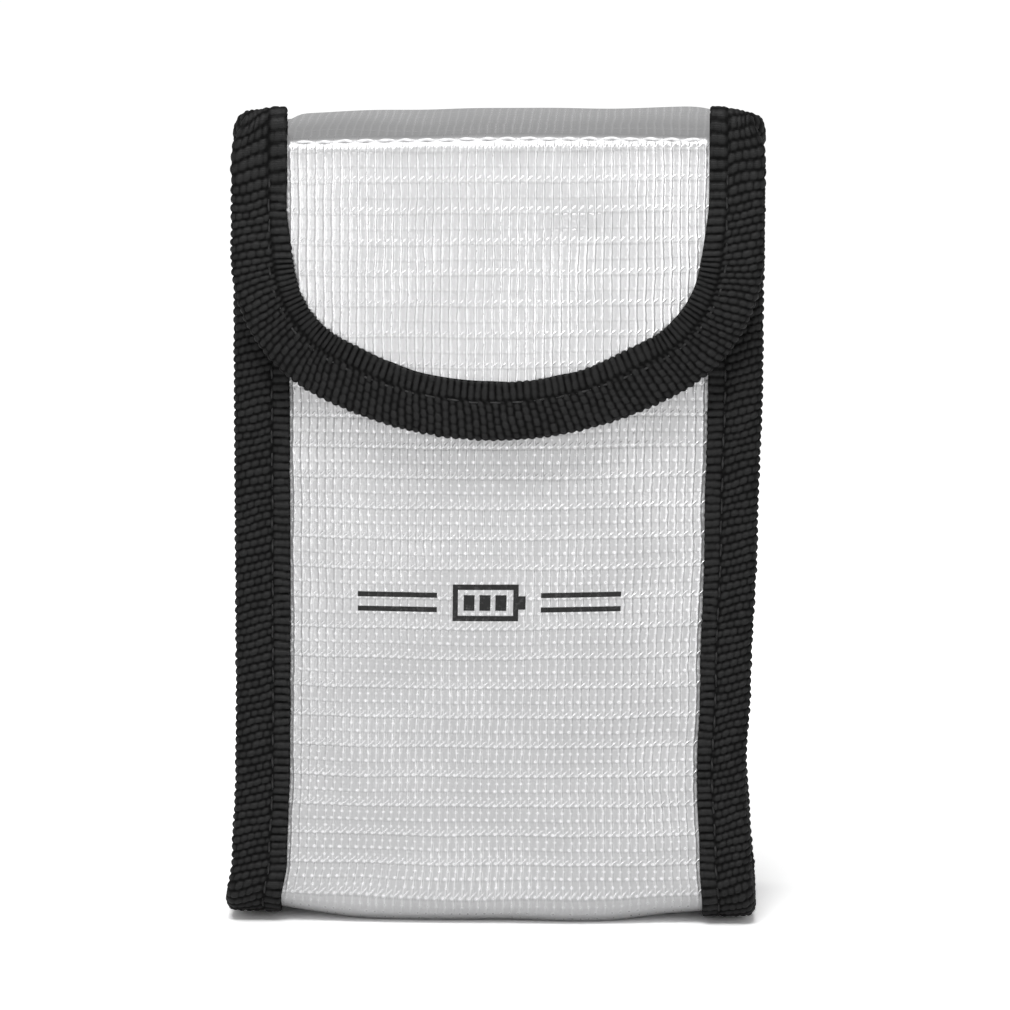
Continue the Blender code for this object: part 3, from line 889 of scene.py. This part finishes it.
def cloth_relief(x, s, seed):
    """Soft waves of a coated cloth, and puckers that die away from the side seams."""
    x, s = np.broadcast_arrays(x, s)
    inside = smoothstep((STITCH_X - np.abs(x)) / 8)
    waves = 0.28 * ripple(x, s * 0.35, 22, seed) + 0.1 * ripple(x, s, 12, seed + 1)
    from_seam = np.maximum(0, STITCH_X - 2 - np.abs(x))
    pucker = 0.16 * np.sin(2 * math.pi * s / 9 + 2 * ripple(x * 0.2, s, 25, seed + 2))
    return inside * (waves + pucker * np.exp(-from_seam / 5))


def soft_folds(x, z, folds):
    """Long soft ridges: each is (x and z of its top end, x and z of its foot, height, half width)."""
    total = np.zeros(np.broadcast(x, z).shape)
    for top_x, top_z, foot_x, foot_z, height, width in folds:
        share = (top_z - z) / (top_z - foot_z)
        line = top_x + (foot_x - top_x) * np.clip(share, 0, 1)
        ends = smoothstep(share * 4 + 0.5) * smoothstep((1 - share) * 4 + 0.5)
        total = total + height * ends * bell(x - line, width)
    return total


def belongs(piece, body, node=None):
    """The piece rides on a body, or, given a fold between two, stays fixed where it is, and may stand for a
    CAD node, which is then hidden.
    """
    if isinstance(body, str):
        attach(piece, body)
    else:
        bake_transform(piece)
    if node:
        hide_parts(node)


def declare(piece, width, length, held, rests_on=(), share=None):
    """Works out a sheet's flat size from millimetres, and its area from share, its part of that rectangle;
    nothing is kept.
    """
    flat = (width * MM, length * MM)
    area = flat[0] * flat[1] * share if share else None


BACK_FOLD = ("pouch", "lid", (0, 21.4 * MM, 140.25 * MM), (0, 18.0 * MM, 143.65 * MM))
FRONT_FOLD = ("lid", "flap", (0, -21.2 * MM, 142.3 * MM), (0, -25.1 * MM, 138.4 * MM))
MOUTH_EDGE = MOUTH_HEIGHT - 1.2
SHELL_TOP = 134.5  # where the lid's cloth is sewn to the top of the back
FLAP_SHARE = 0.85  # of the rectangle round the flap's cloth, since its end is round
SHELL_SEED = 21
COVER_SEED = 33

# The longest soft folds on the front and on the flap
SHELL_FOLDS = (
    (-27, 92, -25, 20, 0.5, 6.5),
    (22, 85, 25, 10, 0.55, 6.0),
    (-4, 50, 2, 8, -0.25, 9.0),
)
FLAP_FOLDS = (
    (15, 128, 3, 92, 0.6, 4.0),
    (-26, 132, -20, 95, 0.4, 5.5),
)


def shell_relief(x, s):
    return cloth_relief(x, s, SHELL_SEED) + soft_folds(x, BODY_TOP - s, SHELL_FOLDS)


def make_shell_ply(name, node, edge, step, layer, thickness, fade, material, slot):
    """One ply of the strip that makes the front, the floor and the back."""
    start, end = front_s(MOUTH_EDGE), back_s(SHELL_TOP)
    s = spaced(start, end, step)[:, None]
    x = spaced(-edge, edge, step)[None, :]
    middle = body_point(x, s, layer + shell_relief(x, s))
    made = sheet_object(name, middle, thickness, weave_at(x, s, fade(s)), material)
    declare(made, 2 * edge, end - start, "stretched")
    belongs(made, "pouch", node)


def floor_fade(s):
    """The weave shows less under the floor."""
    return smoothstep((BODY_PATH.at(s)[1] - 3.4) / 4)


def make_shell():
    """The strip's silver cloth, and its lining from seam to seam."""
    cloth = (CLOTH_EDGE, 1.0, SHELL_MIDDLE, CLOTH, floor_fade)
    make_shell_ply("shell_cloth", "outer_shell", *cloth, *SILVER_OF_BODY)
    lining = (STITCH_X - 1.6, 1.6, SHELL_IN - LINING / 2, LINING, np.ones_like)
    make_shell_ply("shell_lining_cloth", "shell_lining", *lining, *LINING_CLOTH)


# ---- gussets

GUSSET_LAYER = -0.5
GUSSET_BEND = 1.5
GUSSET_SWELL = 2.0
LIP_DEPTH = 4.3
LIP_X = STITCH_X + 0.95


def gusset_swell(y, z):
    """How far a gusset stands out: nothing along its lip of webbing, nor at the mouth."""
    reach = HALF_DEPTH - LIP_DEPTH - 0.3
    start = FLOOR_SEAM + LIP_DEPTH + 0.3
    t = (z - start) / (MOUTH_HEIGHT - start)
    share = np.maximum(0, 1 - (2 * t - 1) ** 4) * np.maximum(0, 1 - (y / reach) ** 2)
    return share * (GUSSET_SWELL + 0.25 * ripple(y, z * 0.5, 14, 51))


def gusset_grid(panel_x, with_flange, step):
    """Middle points of a gusset: rows run from the front seam over the middle to the back.

    Its flange at the back ends where the lid's cloth begins.
    """
    front = spaced(front_s(MOUTH_EDGE), BODY_PATH.length / 2, step)
    y, z, normal_y, normal_z = (column[:, None] for column in BODY_PATH.at(front))
    medial_foot = FLOOR_SEAM + HALF_DEPTH
    share = np.linspace(0, 1, 15)[None, :]
    edge_y = y - GUSSET_BEND * normal_y
    edge_z = z - GUSSET_BEND * normal_z
    panel_y = edge_y * (1 - share)
    panel_z = edge_z + (np.maximum(z, medial_foot) - edge_z) * share
    panel = np.stack([panel_x + gusset_swell(panel_y, panel_z), panel_y, panel_z], axis=-1)
    if with_flange:
        flange = []
        for x, layer in (
            (CLOTH_EDGE, GUSSET_LAYER),
            (panel_x + 3, GUSSET_LAYER),
            (panel_x + 0.9 * GUSSET_BEND, GUSSET_LAYER),
            (panel_x + 0.3 * GUSSET_BEND, GUSSET_LAYER - 0.25 * GUSSET_BEND),
        ):
            place = np.concatenate([np.full_like(y, x), y + layer * normal_y, z + layer * normal_z], axis=1)
            flange.append(place[:, None, :])
        panel = np.concatenate(flange + [panel], axis=1)
    back = panel[:, -2::-1] * (1, -1, 1)
    cut = SHELL_TOP + (MOUTH_EDGE - SHELL_TOP) * smoothstep((HALF_DEPTH - 1 - back[..., 1]) / 1.5)
    back[..., 2] = np.minimum(back[..., 2], cut)
    return np.concatenate([panel, back], axis=1)


def make_gussets():
    """The silver side panels and their linings."""
    for side, name in SIDES:
        for piece, panel_x, flange, thickness, step, material, slot in (
            ("gusset", GUSSET_X, FLANGE, CLOTH, 1.0, *SILVER_OF_BODY),
            ("gusset_lining", GUSSET_LINING_X, 0, LINING, 1.6, *LINING_CLOTH),
        ):
            middle = gusset_grid(panel_x, flange > 0, step) * (side, 1, 1)
            weave = weave_at(middle[..., 1], -middle[..., 2])
            made = sheet_object(f"{name}_{piece}_cloth", settle(middle), thickness, weave, material)
            declare(made, 2 * (HALF_DEPTH + flange), MOUTH_EDGE, "stretched")
            belongs(made, "pouch", f"{name}_{piece}")


# ---- the cover: lid and flap


def outline_z(x):
    """Height of the flap's outline at x, on the binding's fold."""
    x = np.abs(x)
    arch = ARCH_CENTRE_Z - np.sqrt(ARCH_RADIUS**2 - x**2)
    corner = CORNER_CENTRE_Z - np.sqrt(np.maximum(0, CORNER_RADIUS**2 - (x - CORNER_X) ** 2))
    return np.where(x < ARCH_RADIUS * math.sin(ARCH_TURN), arch, corner)


def inset_end_s(x, inset):
    """Where a cloth inset from the flap's outline ends, along the cover path."""
    scaled = np.abs(x) * HALF_WIDTH / (HALF_WIDTH - inset)
    return flap_s(outline_z(np.minimum(scaled, HALF_WIDTH)) + inset)


def cover_relief(x, s):
    """Relief of the cover's plies: calm over the creases, and the shell's where the lid is sewn to it."""
    calm = 1 - 0.8 * np.minimum(1, corner_pull(s))
    own = cloth_relief(x, s, COVER_SEED) * calm + soft_folds(x, flap_z(s), FLAP_FOLDS)
    shell = cloth_relief(x, back_s(COVER_START + s), SHELL_SEED) + 0.15
    sewn = smoothstep((cover_back_s(SHELL_TOP + 3.5) - s) / 3)
    return own + (shell - own) * sewn


def flap_grid(x, inset, step):
    """Lengths along the cover for a flap cloth's columns: even over the crease, then down to the outline."""
    fixed_end = FRONT_CREASE_S + 7
    fixed = spaced(MID_LID_S, fixed_end, step)
    rows = round((FLAP_END_S - fixed_end) / step)
    share = np.linspace(0, 1, rows + 1)[1:, None]
    shaped = fixed_end + (inset_end_s(x, inset) - fixed_end) * share
    level = np.broadcast_to(fixed[:, None], (len(fixed), x.shape[1]))
    return np.concatenate([level, shaped])


def make_cover_ply(kind, node, start, edge, inset, step, layer, thickness, material, slot):
    """One ply of the lid and one of the flap, which meet on the middle of the lid."""
    x = spaced(-edge, edge, step)[None, :]
    lid_s = spaced(start, MID_LID_S, step)[:, None]
    for name, s, length, fold, share in (
        ("lid", lid_s, MID_LID_S - start, BACK_FOLD, None),
        ("flap", flap_grid(x, inset, step), FLAP_END_S - MID_LID_S, FRONT_FOLD, FLAP_SHARE),
    ):
        middle = cover_point(x, s, layer + cover_relief(x, s))
        made = sheet_object(f"{name}_{kind}", middle, thickness, weave_at(x, s, cover_fade(s)), material)
        declare(made, 2 * edge, length, "folded", share=share)
        belongs(made, fold, f"{name}_{node}")


def make_cover_cloths():
    """The silver cloth and the lining of the lid and of the flap."""
    lining_layer = (COVER_LINING_OUT + COVER_LINING_IN) / 2
    start = cover_back_s(SHELL_TOP - 0.6)
    make_cover_ply("cloth", "panel", start, CLOTH_EDGE, 1.3, 0.8, 0.0, CLOTH, *SILVER_OF_COVER)
    start = cover_back_s(SHELL_TOP + 0.1)
    edge = CLOTH_EDGE - 1
    make_cover_ply("lining_cloth", "lining", start, edge, 2.3, 1.2, lining_layer, LINING, *LINING_CLOTH)


# ---- bindings


# Stitches sunk into webbing
SUNK = {"pitch": 3.9, "length": 3.0, "radius": 0.2, "arch": 0.22, "sink": 0.36}

MOUTH_LEG = 0.9 * WEBBING_LEG
LID_NARROWING = 0.18  # share of the lid's webbing that its cloth hides
WEBBING_RISE = 35.0  # where the cover's webbing starts to rise at the front crease
COVER_OUTLINE = webbing_outline(-WEBBING_LEG, COVER_SLOT_IN, COVER_SLOT_OUT)


def sew_webbing(name, outline, runs, place, tilt, body, node, leg=WEBBING_LEG):
    """A piece of folded webbing of two legs, with 2 mm for its fold."""
    made = webbing_object(name, outline, runs, place, tilt)
    declare(made, 2 * leg + 2, runs[-1] - runs[0], "folded")
    belongs(made, body, node)


def stitch_line(name, point, x, s, layer, body, node, material=None, slot="black_thread", **sizes):
    """Topstitching along a line on the body or the cover."""
    centres = point(x, s, layer)
    outwards = point(x, s, layer + 1) - centres
    made = thread_object(name, centres, outwards, material or BLACK_THREAD, **sizes)
    belongs(made, body, node)


def make_body_bindings():
    """Webbing round the flange of each side seam, from the mouth under the floor to the back crease."""
    lip = (LIP_X - HALF_WIDTH, -LIP_DEPTH)
    outline = webbing_outline(-WEBBING_LEG, -BODY_SLOT, BODY_SLOT, lip=lip)
    start, end = front_s(MOUTH_HEIGHT - 0.2), back_s(SHELL_TOP + 0.3)
    runs = spaced(start, end, WEBBING_STEP)
    sewn = runs[(runs > start + 1) & (runs < end - 1)]
    for side, name in SIDES:

        def place(across, layer):
            return body_point(side * (HALF_WIDTH + across), runs[:, None], layer)

        node = f"{name}_body_binding"
        sew_webbing(f"{name}_side_binding", outline, runs, place, -0.25 * side, "pouch", node)
        thread = (f"{name}_binding_thread", body_point, side * STITCH_X, sewn, BODY_OUT)
        stitch_line(*thread, "pouch", f"{name}_binding_stitching", **SUNK)


def make_front_mouth_binding():
    """Webbing over the free top edge of the front."""
    outline = webbing_outline(-MOUTH_LEG, SHELL_IN - LINING - 0.05, BODY_SLOT)
    end = HALF_WIDTH - WEBBING_LEG - 0.3
    runs = spaced(-end, end, WEBBING_STEP)

    def place(across, layer):
        return body_point(runs[:, None], front_s(MOUTH_HEIGHT + across), layer)

    node = "front_mouth_binding"
    sew_webbing("front_mouth_webbing", outline, runs, place, 0.2, "pouch", node, MOUTH_LEG)


def make_gusset_mouth_bindings():
    """Webbing over the top edges of the two gussets."""
    slot_in = GUSSET_LINING_X - LINING / 2 - 0.05
    slot_out = GUSSET_X + CLOTH / 2 + 0.05
    outline = webbing_outline(-MOUTH_LEG, slot_in, slot_out)
    end = HALF_DEPTH - 1.7
    runs = spaced(-end, end, WEBBING_STEP)
    for side, name in SIDES:

        def place(across, layer):
            y, z = np.broadcast_arrays(runs[:, None], MOUTH_HEIGHT + across)
            return placed(side * (layer + gusset_swell(y, z)), y, z)

        node = f"{name}_mouth_binding"
        sew_webbing(f"{name}_mouth_webbing", outline, runs, place, 0.2, "pouch", node, MOUTH_LEG)


def make_lid_bindings():
    """Webbing along both edges of the lid, over the back crease."""
    start = cover_back_s(SHELL_TOP + 0.3)
    runs = spaced(start, MID_LID_S, WEBBING_STEP)
    narrowed = 1 - LID_NARROWING - 0.12 * smoothstep((MID_LID_S - runs[:, None]) / 12)
    for side, name in SIDES:

        def place(across, layer):
            return cover_point(side * (HALF_WIDTH + across * narrowed), runs[:, None], layer, WEBBING_RISE)

        node = f"{name}_lid_binding"
        sew_webbing(f"{name}_lid_webbing", COVER_OUTLINE, runs, place, -0.25 * side, BACK_FOLD, node)


def flap_fold():
    """The flap's fold line, from the middle of the lid round the arch: lengths along it, and at each of them
    x, s and the direction outwards."""
    arch_s, corner_s = flap_s(ARCH_CENTRE_Z), flap_s(CORNER_CENTRE_Z)
    meeting = math.pi / 2 - ARCH_TURN
    half = [(HALF_WIDTH, s, 1.0, 0.0) for s in spaced(MID_LID_S, corner_s, 0.2)[:-1]]
    for centre_x, centre_s, radius, angles in (
        (CORNER_X, corner_s, CORNER_RADIUS, np.linspace(0, meeting, 150)[:-1]),
        (0.0, arch_s, ARCH_RADIUS, np.linspace(meeting, math.pi / 2, 150)),
    ):
        for angle in angles:
            x, down = math.cos(angle), math.sin(angle)
            half.append((centre_x + radius * x, centre_s + radius * down, x, down))
    right = np.array(half)
    left = right[-2::-1] * (-1, 1, -1, 1)
    points = np.concatenate([right, left])[::-1]
    lengths = distances(points[:, :2])
    runs = spaced(0, lengths[-1], WEBBING_STEP)
    return runs, resampled(points, lengths, runs)


def make_flap_binding():
    """Webbing along both edges of the lid's front half and round the flap, and its thread."""
    runs, fold = flap_fold()
    fold_x, fold_s, out_x, out_s = (column[:, None] for column in fold.T)
    round_corner = smoothstep((fold_s - FRONT_CREASE_S - 10) / 14)
    wide = 1 + round_corner * (0.05 + 0.09 * smoothstep((np.abs(fold_x) - 15) / 15))
    wide = wide - LID_NARROWING * smoothstep((FRONT_CREASE_S - 1 - fold_s) / 6)

    def place(across, layer):
        across = across * wide
        return cover_point(fold_x + across * out_x, fold_s + across * out_s, layer, WEBBING_RISE)

    sew_webbing("flap_webbing", COVER_OUTLINE, runs, place, 0.2, FRONT_FOLD, "flap_binding")
    x, s, out_x, out_s = fold[fold[:, 1] > FRONT_CREASE_S + 6].T
    thread = ("flap_binding_thread", cover_point, x - FLANGE * out_x, s - FLANGE * out_s, COVER_OUT)
    stitch_line(*thread, FRONT_FOLD, "flap_binding_stitching", **SUNK)


def make_crease_threads():
    """White topstitching under each crease."""
    end = HALF_WIDTH - WEBBING_LEG - 0.6
    x = spaced(-end, end, 0.5)
    for name, place_s, fold, node in (
        ("front_crease_thread", FRONT_CREASE_S + 0.2, FRONT_FOLD, "crease_stitching"),
        ("back_crease_thread", cover_back_s(SHELL_TOP + 0.9), BACK_FOLD, "back_crease_stitching"),
    ):
        s = np.full_like(x, place_s)
        layer = COVER_CLOTH_OUT + 0.05 + cover_relief(x, s)
        stitch_line(name, cover_point, x, s, layer, fold, node, WHITE_THREAD, "white_thread")


# ---- hook and loop tape, and the print

TAPE_HEIGHT = 114.0
LOOP_SIZE = (54.0, 20.0)
HOOK_SIZE = (50.0, 16.0)
HOOK_BASE = 0.6
HOOK_RINGS = ((0, 0, 0.2), (0.45, 0, 0.15), (0.8, 0.35, 0.14), (0.72, 1.2, 0.1))  # reach, how far aside, size


def slab(x, s, point, low, high):
    """Points, faces and weave coordinates of a slab from layer low to layer high, on a grid."""
    x, s = np.broadcast_arrays(x, s)
    index = np.arange(x.size).reshape(x.shape)
    rim = np.concatenate([index[0, :], index[1:, -1], index[-1, -2::-1], index[-2:0:-1, 0]])
    after = np.roll(rim, -1)
    top = grid_faces(*x.shape)
    edge = np.stack([rim, rim + x.size, after + x.size, after], axis=1)
    faces = np.concatenate([top, top[:, ::-1] + x.size, edge])
    points = np.concatenate([point(x, s, layer).reshape(-1, 3) for layer in (high, low)])
    return points, faces, np.concatenate([weave_at(x, s).reshape(-1, 3)] * 2)


def tape_grid(size, along, step):
    """x and lengths of a grid over a piece of tape."""
    width, height = size
    x = spaced(-width / 2, width / 2, step)[None, :]
    z = spaced(TAPE_HEIGHT - height / 2, TAPE_HEIGHT + height / 2, step)[::-1]
    return x, along(z)[:, None]


def make_loop_tape():
    """A soft pile of loops, sewn to the front."""
    width, height = LOOP_SIZE
    x, s = tape_grid(LOOP_SIZE, front_s, 0.32)
    near_edge = np.minimum(width / 2 - np.abs(x), height / 2 - np.abs(s - front_s(TAPE_HEIGHT)))
    pile = 0.1 * ripple(x, s, 1.1, 71, 12) + 0.07 * ripple(x, s, 3.5, 72)
    pile = (pile + 0.45) * smoothstep((near_edge - 0.9) / 1.2)
    low = SHELL_OUT + shell_relief(x, s)
    points, faces, weave = slab(x, s, body_point, low, low + 0.65 + pile)
    made = add_mesh("loop_tape", points, faces, LOOP_PILE, sharp=60, weave=weave)
    declare(made, width, height, "laid", ["shell_cloth"])
    belongs(made, "pouch", "loop_strip")
    sew_round("loop_tape_thread", width / 2 - 1.1, height / 2 - 1.1, SHELL_OUT + 0.75)


def sew_round(name, half_x, half_z, layer):
    """Topstitching round a piece of tape on the front."""
    corners = np.array([(-1, 1), (1, 1), (1, -1), (-1, -1), (-1, 1)]) * (half_x, half_z)
    places = []
    for a, b in zip(corners, corners[1:]):
        steps = round(np.linalg.norm(b - a) / 0.5)
        places += [a + (b - a) * k / steps for k in range(steps)]
    x, z = np.array(places).T
    line = (name, body_point, x, front_s(TAPE_HEIGHT + z), layer)
    stitch_line(*line, "pouch", None, pitch=3.0, length=2.4, radius=0.22)


def make_hook_tape():
    """Stiff tape inside the flap with rows of little hooks that face the pouch."""
    x, s = tape_grid(HOOK_SIZE, flap_s, 0.8)
    high = COVER_LINING_IN - 0.02
    points, faces, weave = slab(x, s, cover_point, high - HOOK_BASE, high)
    made = add_mesh("hook_tape", points, faces, HOOK_PLASTIC, sharp=60, weave=weave)
    declare(made, *HOOK_SIZE, "laid", ["flap_lining_cloth"])
    belongs(made, "flap", "hook_strip")
    rows = spaced(x.min() + 2, x.max() - 2, 1.15)
    make_hooks(rows, spaced(s.min() + 1.8, s.max() - 1.8, 1.2), high - HOOK_BASE)


def make_hooks(rows, places_s, layer):
    """Hooks in rows along the flap, which lean to the left and to the right by turns."""
    rng = np.random.default_rng(8)
    corners, faces = [], []
    for number, row_x in enumerate(rows):
        lean = 0.28 if number % 2 else -0.28
        for hook_s in places_s:
            hook_x = row_x + rng.uniform(-0.06, 0.06)
            base = len(corners)
            for reach, aside, size in HOOK_RINGS:
                for dx, ds in ((-1, -1), (1, -1), (1, 1), (-1, 1)):
                    corners.append((hook_x + aside * lean + dx * size / 2, hook_s + ds * size, layer - reach))
            faces += (grid_faces(4, 4, wrap=True) + base).tolist()
            faces += [[base, base + 3, base + 2, base + 1], [base + 12, base + 13, base + 14, base + 15]]
    hooks = add_mesh("hook_tape_hooks", cover_point(*np.array(corners).T), faces, HOOK_PLASTIC, sharp=50)
    belongs(hooks, "flap")


def print_shapes():
    """Rectangles (lowest and highest x, lowest and highest z) of the printed mark."""
    middle_x, middle_z = -1.2, 59.6
    shapes = []
    for side in (-1, 1):
        for lift in (-1.3, 1.3):
            low, high = sorted((middle_x + side * 9.5, middle_x + side * 24.0))
            shapes.append((low, high, middle_z + lift - 0.45, middle_z + lift + 0.45))
    line = 0.95
    left, right, foot, top = middle_x - 6.6, middle_x + 5.4, middle_z - 3.3, middle_z + 3.3
    shapes += [(left, right, top - line, top), (left, right, foot, foot + line)]
    shapes += [(left, left + line, foot + line, top - line), (right - line, right, foot + line, top - line)]
    shapes.append((right, right + 1.3, middle_z - 1.2, middle_z + 1.2))
    for start in (left + 2.0, left + 4.9, left + 7.8):
        shapes.append((start, start + 2.0, foot + 1.9, top - 1.9))
    return shapes


def make_print():
    """A generic mark in black ink on the front: the outline of a battery cell between pairs of rules."""
    vertices, faces, weave = [], [], []
    for low, high, low_z, high_z in print_shapes():
        x, s = np.meshgrid(spaced(low, high, 0.3), front_s(spaced(high_z, low_z, 0.3)))
        surface = SHELL_OUT + shell_relief(x, s)
        points, quads, place = slab(x, s, body_point, surface - 0.05, surface + 0.08)
        faces += (quads + len(vertices)).tolist()
        vertices += points.tolist()
        weave += place.tolist()
    made = add_mesh("front_print", vertices, faces, INK, sharp=60, weave=weave)
    belongs(made, "pouch")


# ---- stage, light and camera


FLOOR_GAIN = 0.95
BACKDROP = 1.1
SURROUNDINGS = 0.33
SUN_STRENGTH = 1.0
SIDE_POWER = 1.7
FRONT_POWER = 1.1
HIGH_POWER = 6.5


def make_stage():
    """A pale floor, which the camera sees brighter than it lights the pouch."""
    bpy.ops.mesh.primitive_plane_add(size=8, location=(0, 0, 0))
    floor = bpy.context.object
    floor.name = "floor"
    made = bpy.data.materials.new("floor")
    made.use_nodes = True
    tree = made.node_tree
    tree.nodes.remove(tree.nodes["Principled BSDF"])
    n = Nodes(tree)
    diffuse = n.new("ShaderNodeBsdfDiffuse")
    paint = n.blend(n.noise(n.place(), 3.0), grey(0.8), grey(0.82))
    n.link(n.maths("MULTIPLY", paint, n.seen() * FLOOR_GAIN + 1.0), diffuse.inputs["Color"])
    n.link(diffuse.outputs[0], tree.nodes["Material Output"].inputs["Surface"])
    floor.data.materials.append(made)


def place_round(thing, azimuth, elevation, distance, target):
    """Puts a lamp or a camera round its target, facing it; azimuth 0 is in front and 90 on the right."""
    azimuth, elevation = math.radians(azimuth), math.radians(elevation)
    level = math.cos(elevation)
    back = Vector((math.sin(azimuth) * level, -math.cos(azimuth) * level, math.sin(elevation)))
    thing.location = Vector(target) + back * distance
    thing.rotation_mode = "QUATERNION"
    thing.rotation_quaternion = (-back).to_track_quat("-Z", "Y")


def softbox(name, azimuth, elevation, distance, size, power):
    """A soft rectangular lamp that faces the middle of the pouch."""
    data = bpy.data.lights.new(name, "AREA")
    data.shape = "RECTANGLE"
    data.size, data.size_y = size
    data.energy = power
    lamp = bpy.data.objects.new(name, data)
    bpy.context.scene.collection.objects.link(lamp)
    place_round(lamp, azimuth, elevation, distance, (0, 0, 0.07))


def make_light():
    """A bright backdrop to the camera, dim grey surroundings, a high broad sun and four softboxes."""
    world = bpy.data.worlds.new("studio")
    bpy.context.scene.world = world
    world.use_nodes = True
    n = Nodes(world.node_tree)
    background = world.node_tree.nodes["Background"]
    n.link(n.seen() * (BACKDROP - SURROUNDINGS) + SURROUNDINGS, background.inputs["Strength"])
    background.inputs["Color"].default_value = (1, 1, 1, 1)
    sun = bpy.data.objects.new("sun", bpy.data.lights.new("sun", "SUN"))
    sun.data.energy = SUN_STRENGTH
    sun.data.angle = math.radians(36)
    bpy.context.scene.collection.objects.link(sun)
    place_round(sun, -25, 78, 1, (0, 0, 0))
    softbox("left_softbox", -28, 10, 1.2, (0.3, 0.7), SIDE_POWER)
    softbox("right_softbox", 32, 10, 1.2, (0.3, 0.7), SIDE_POWER)
    softbox("front_softbox", 5, 10, 1.3, (0.9, 0.35), FRONT_POWER)
    softbox("high_softbox", -6, 52, 1.2, (0.6, 0.3), HIGH_POWER)


def make_camera():
    data = bpy.data.cameras.new("camera")
    data.lens = 220.5
    data.sensor_width = 36
    data.clip_start = 0.01
    camera = bpy.data.objects.new("camera", data)
    bpy.context.scene.collection.objects.link(camera)
    place_round(camera, 2.0, 8.2, 1.1, (1.2 * MM, -22 * MM, 76.7 * MM))
    bpy.context.scene.camera = camera
    bpy.context.scene.view_settings.view_transform = "Standard"


def main():
    make_camera()
    make_light()
    make_stage()
    make_shell()
    make_gussets()
    make_cover_cloths()
    make_body_bindings()
    make_front_mouth_binding()
    make_gusset_mouth_bindings()
    make_lid_bindings()
    make_flap_binding()
    make_crease_threads()
    make_loop_tape()
    make_hook_tape()
    make_print()


main()
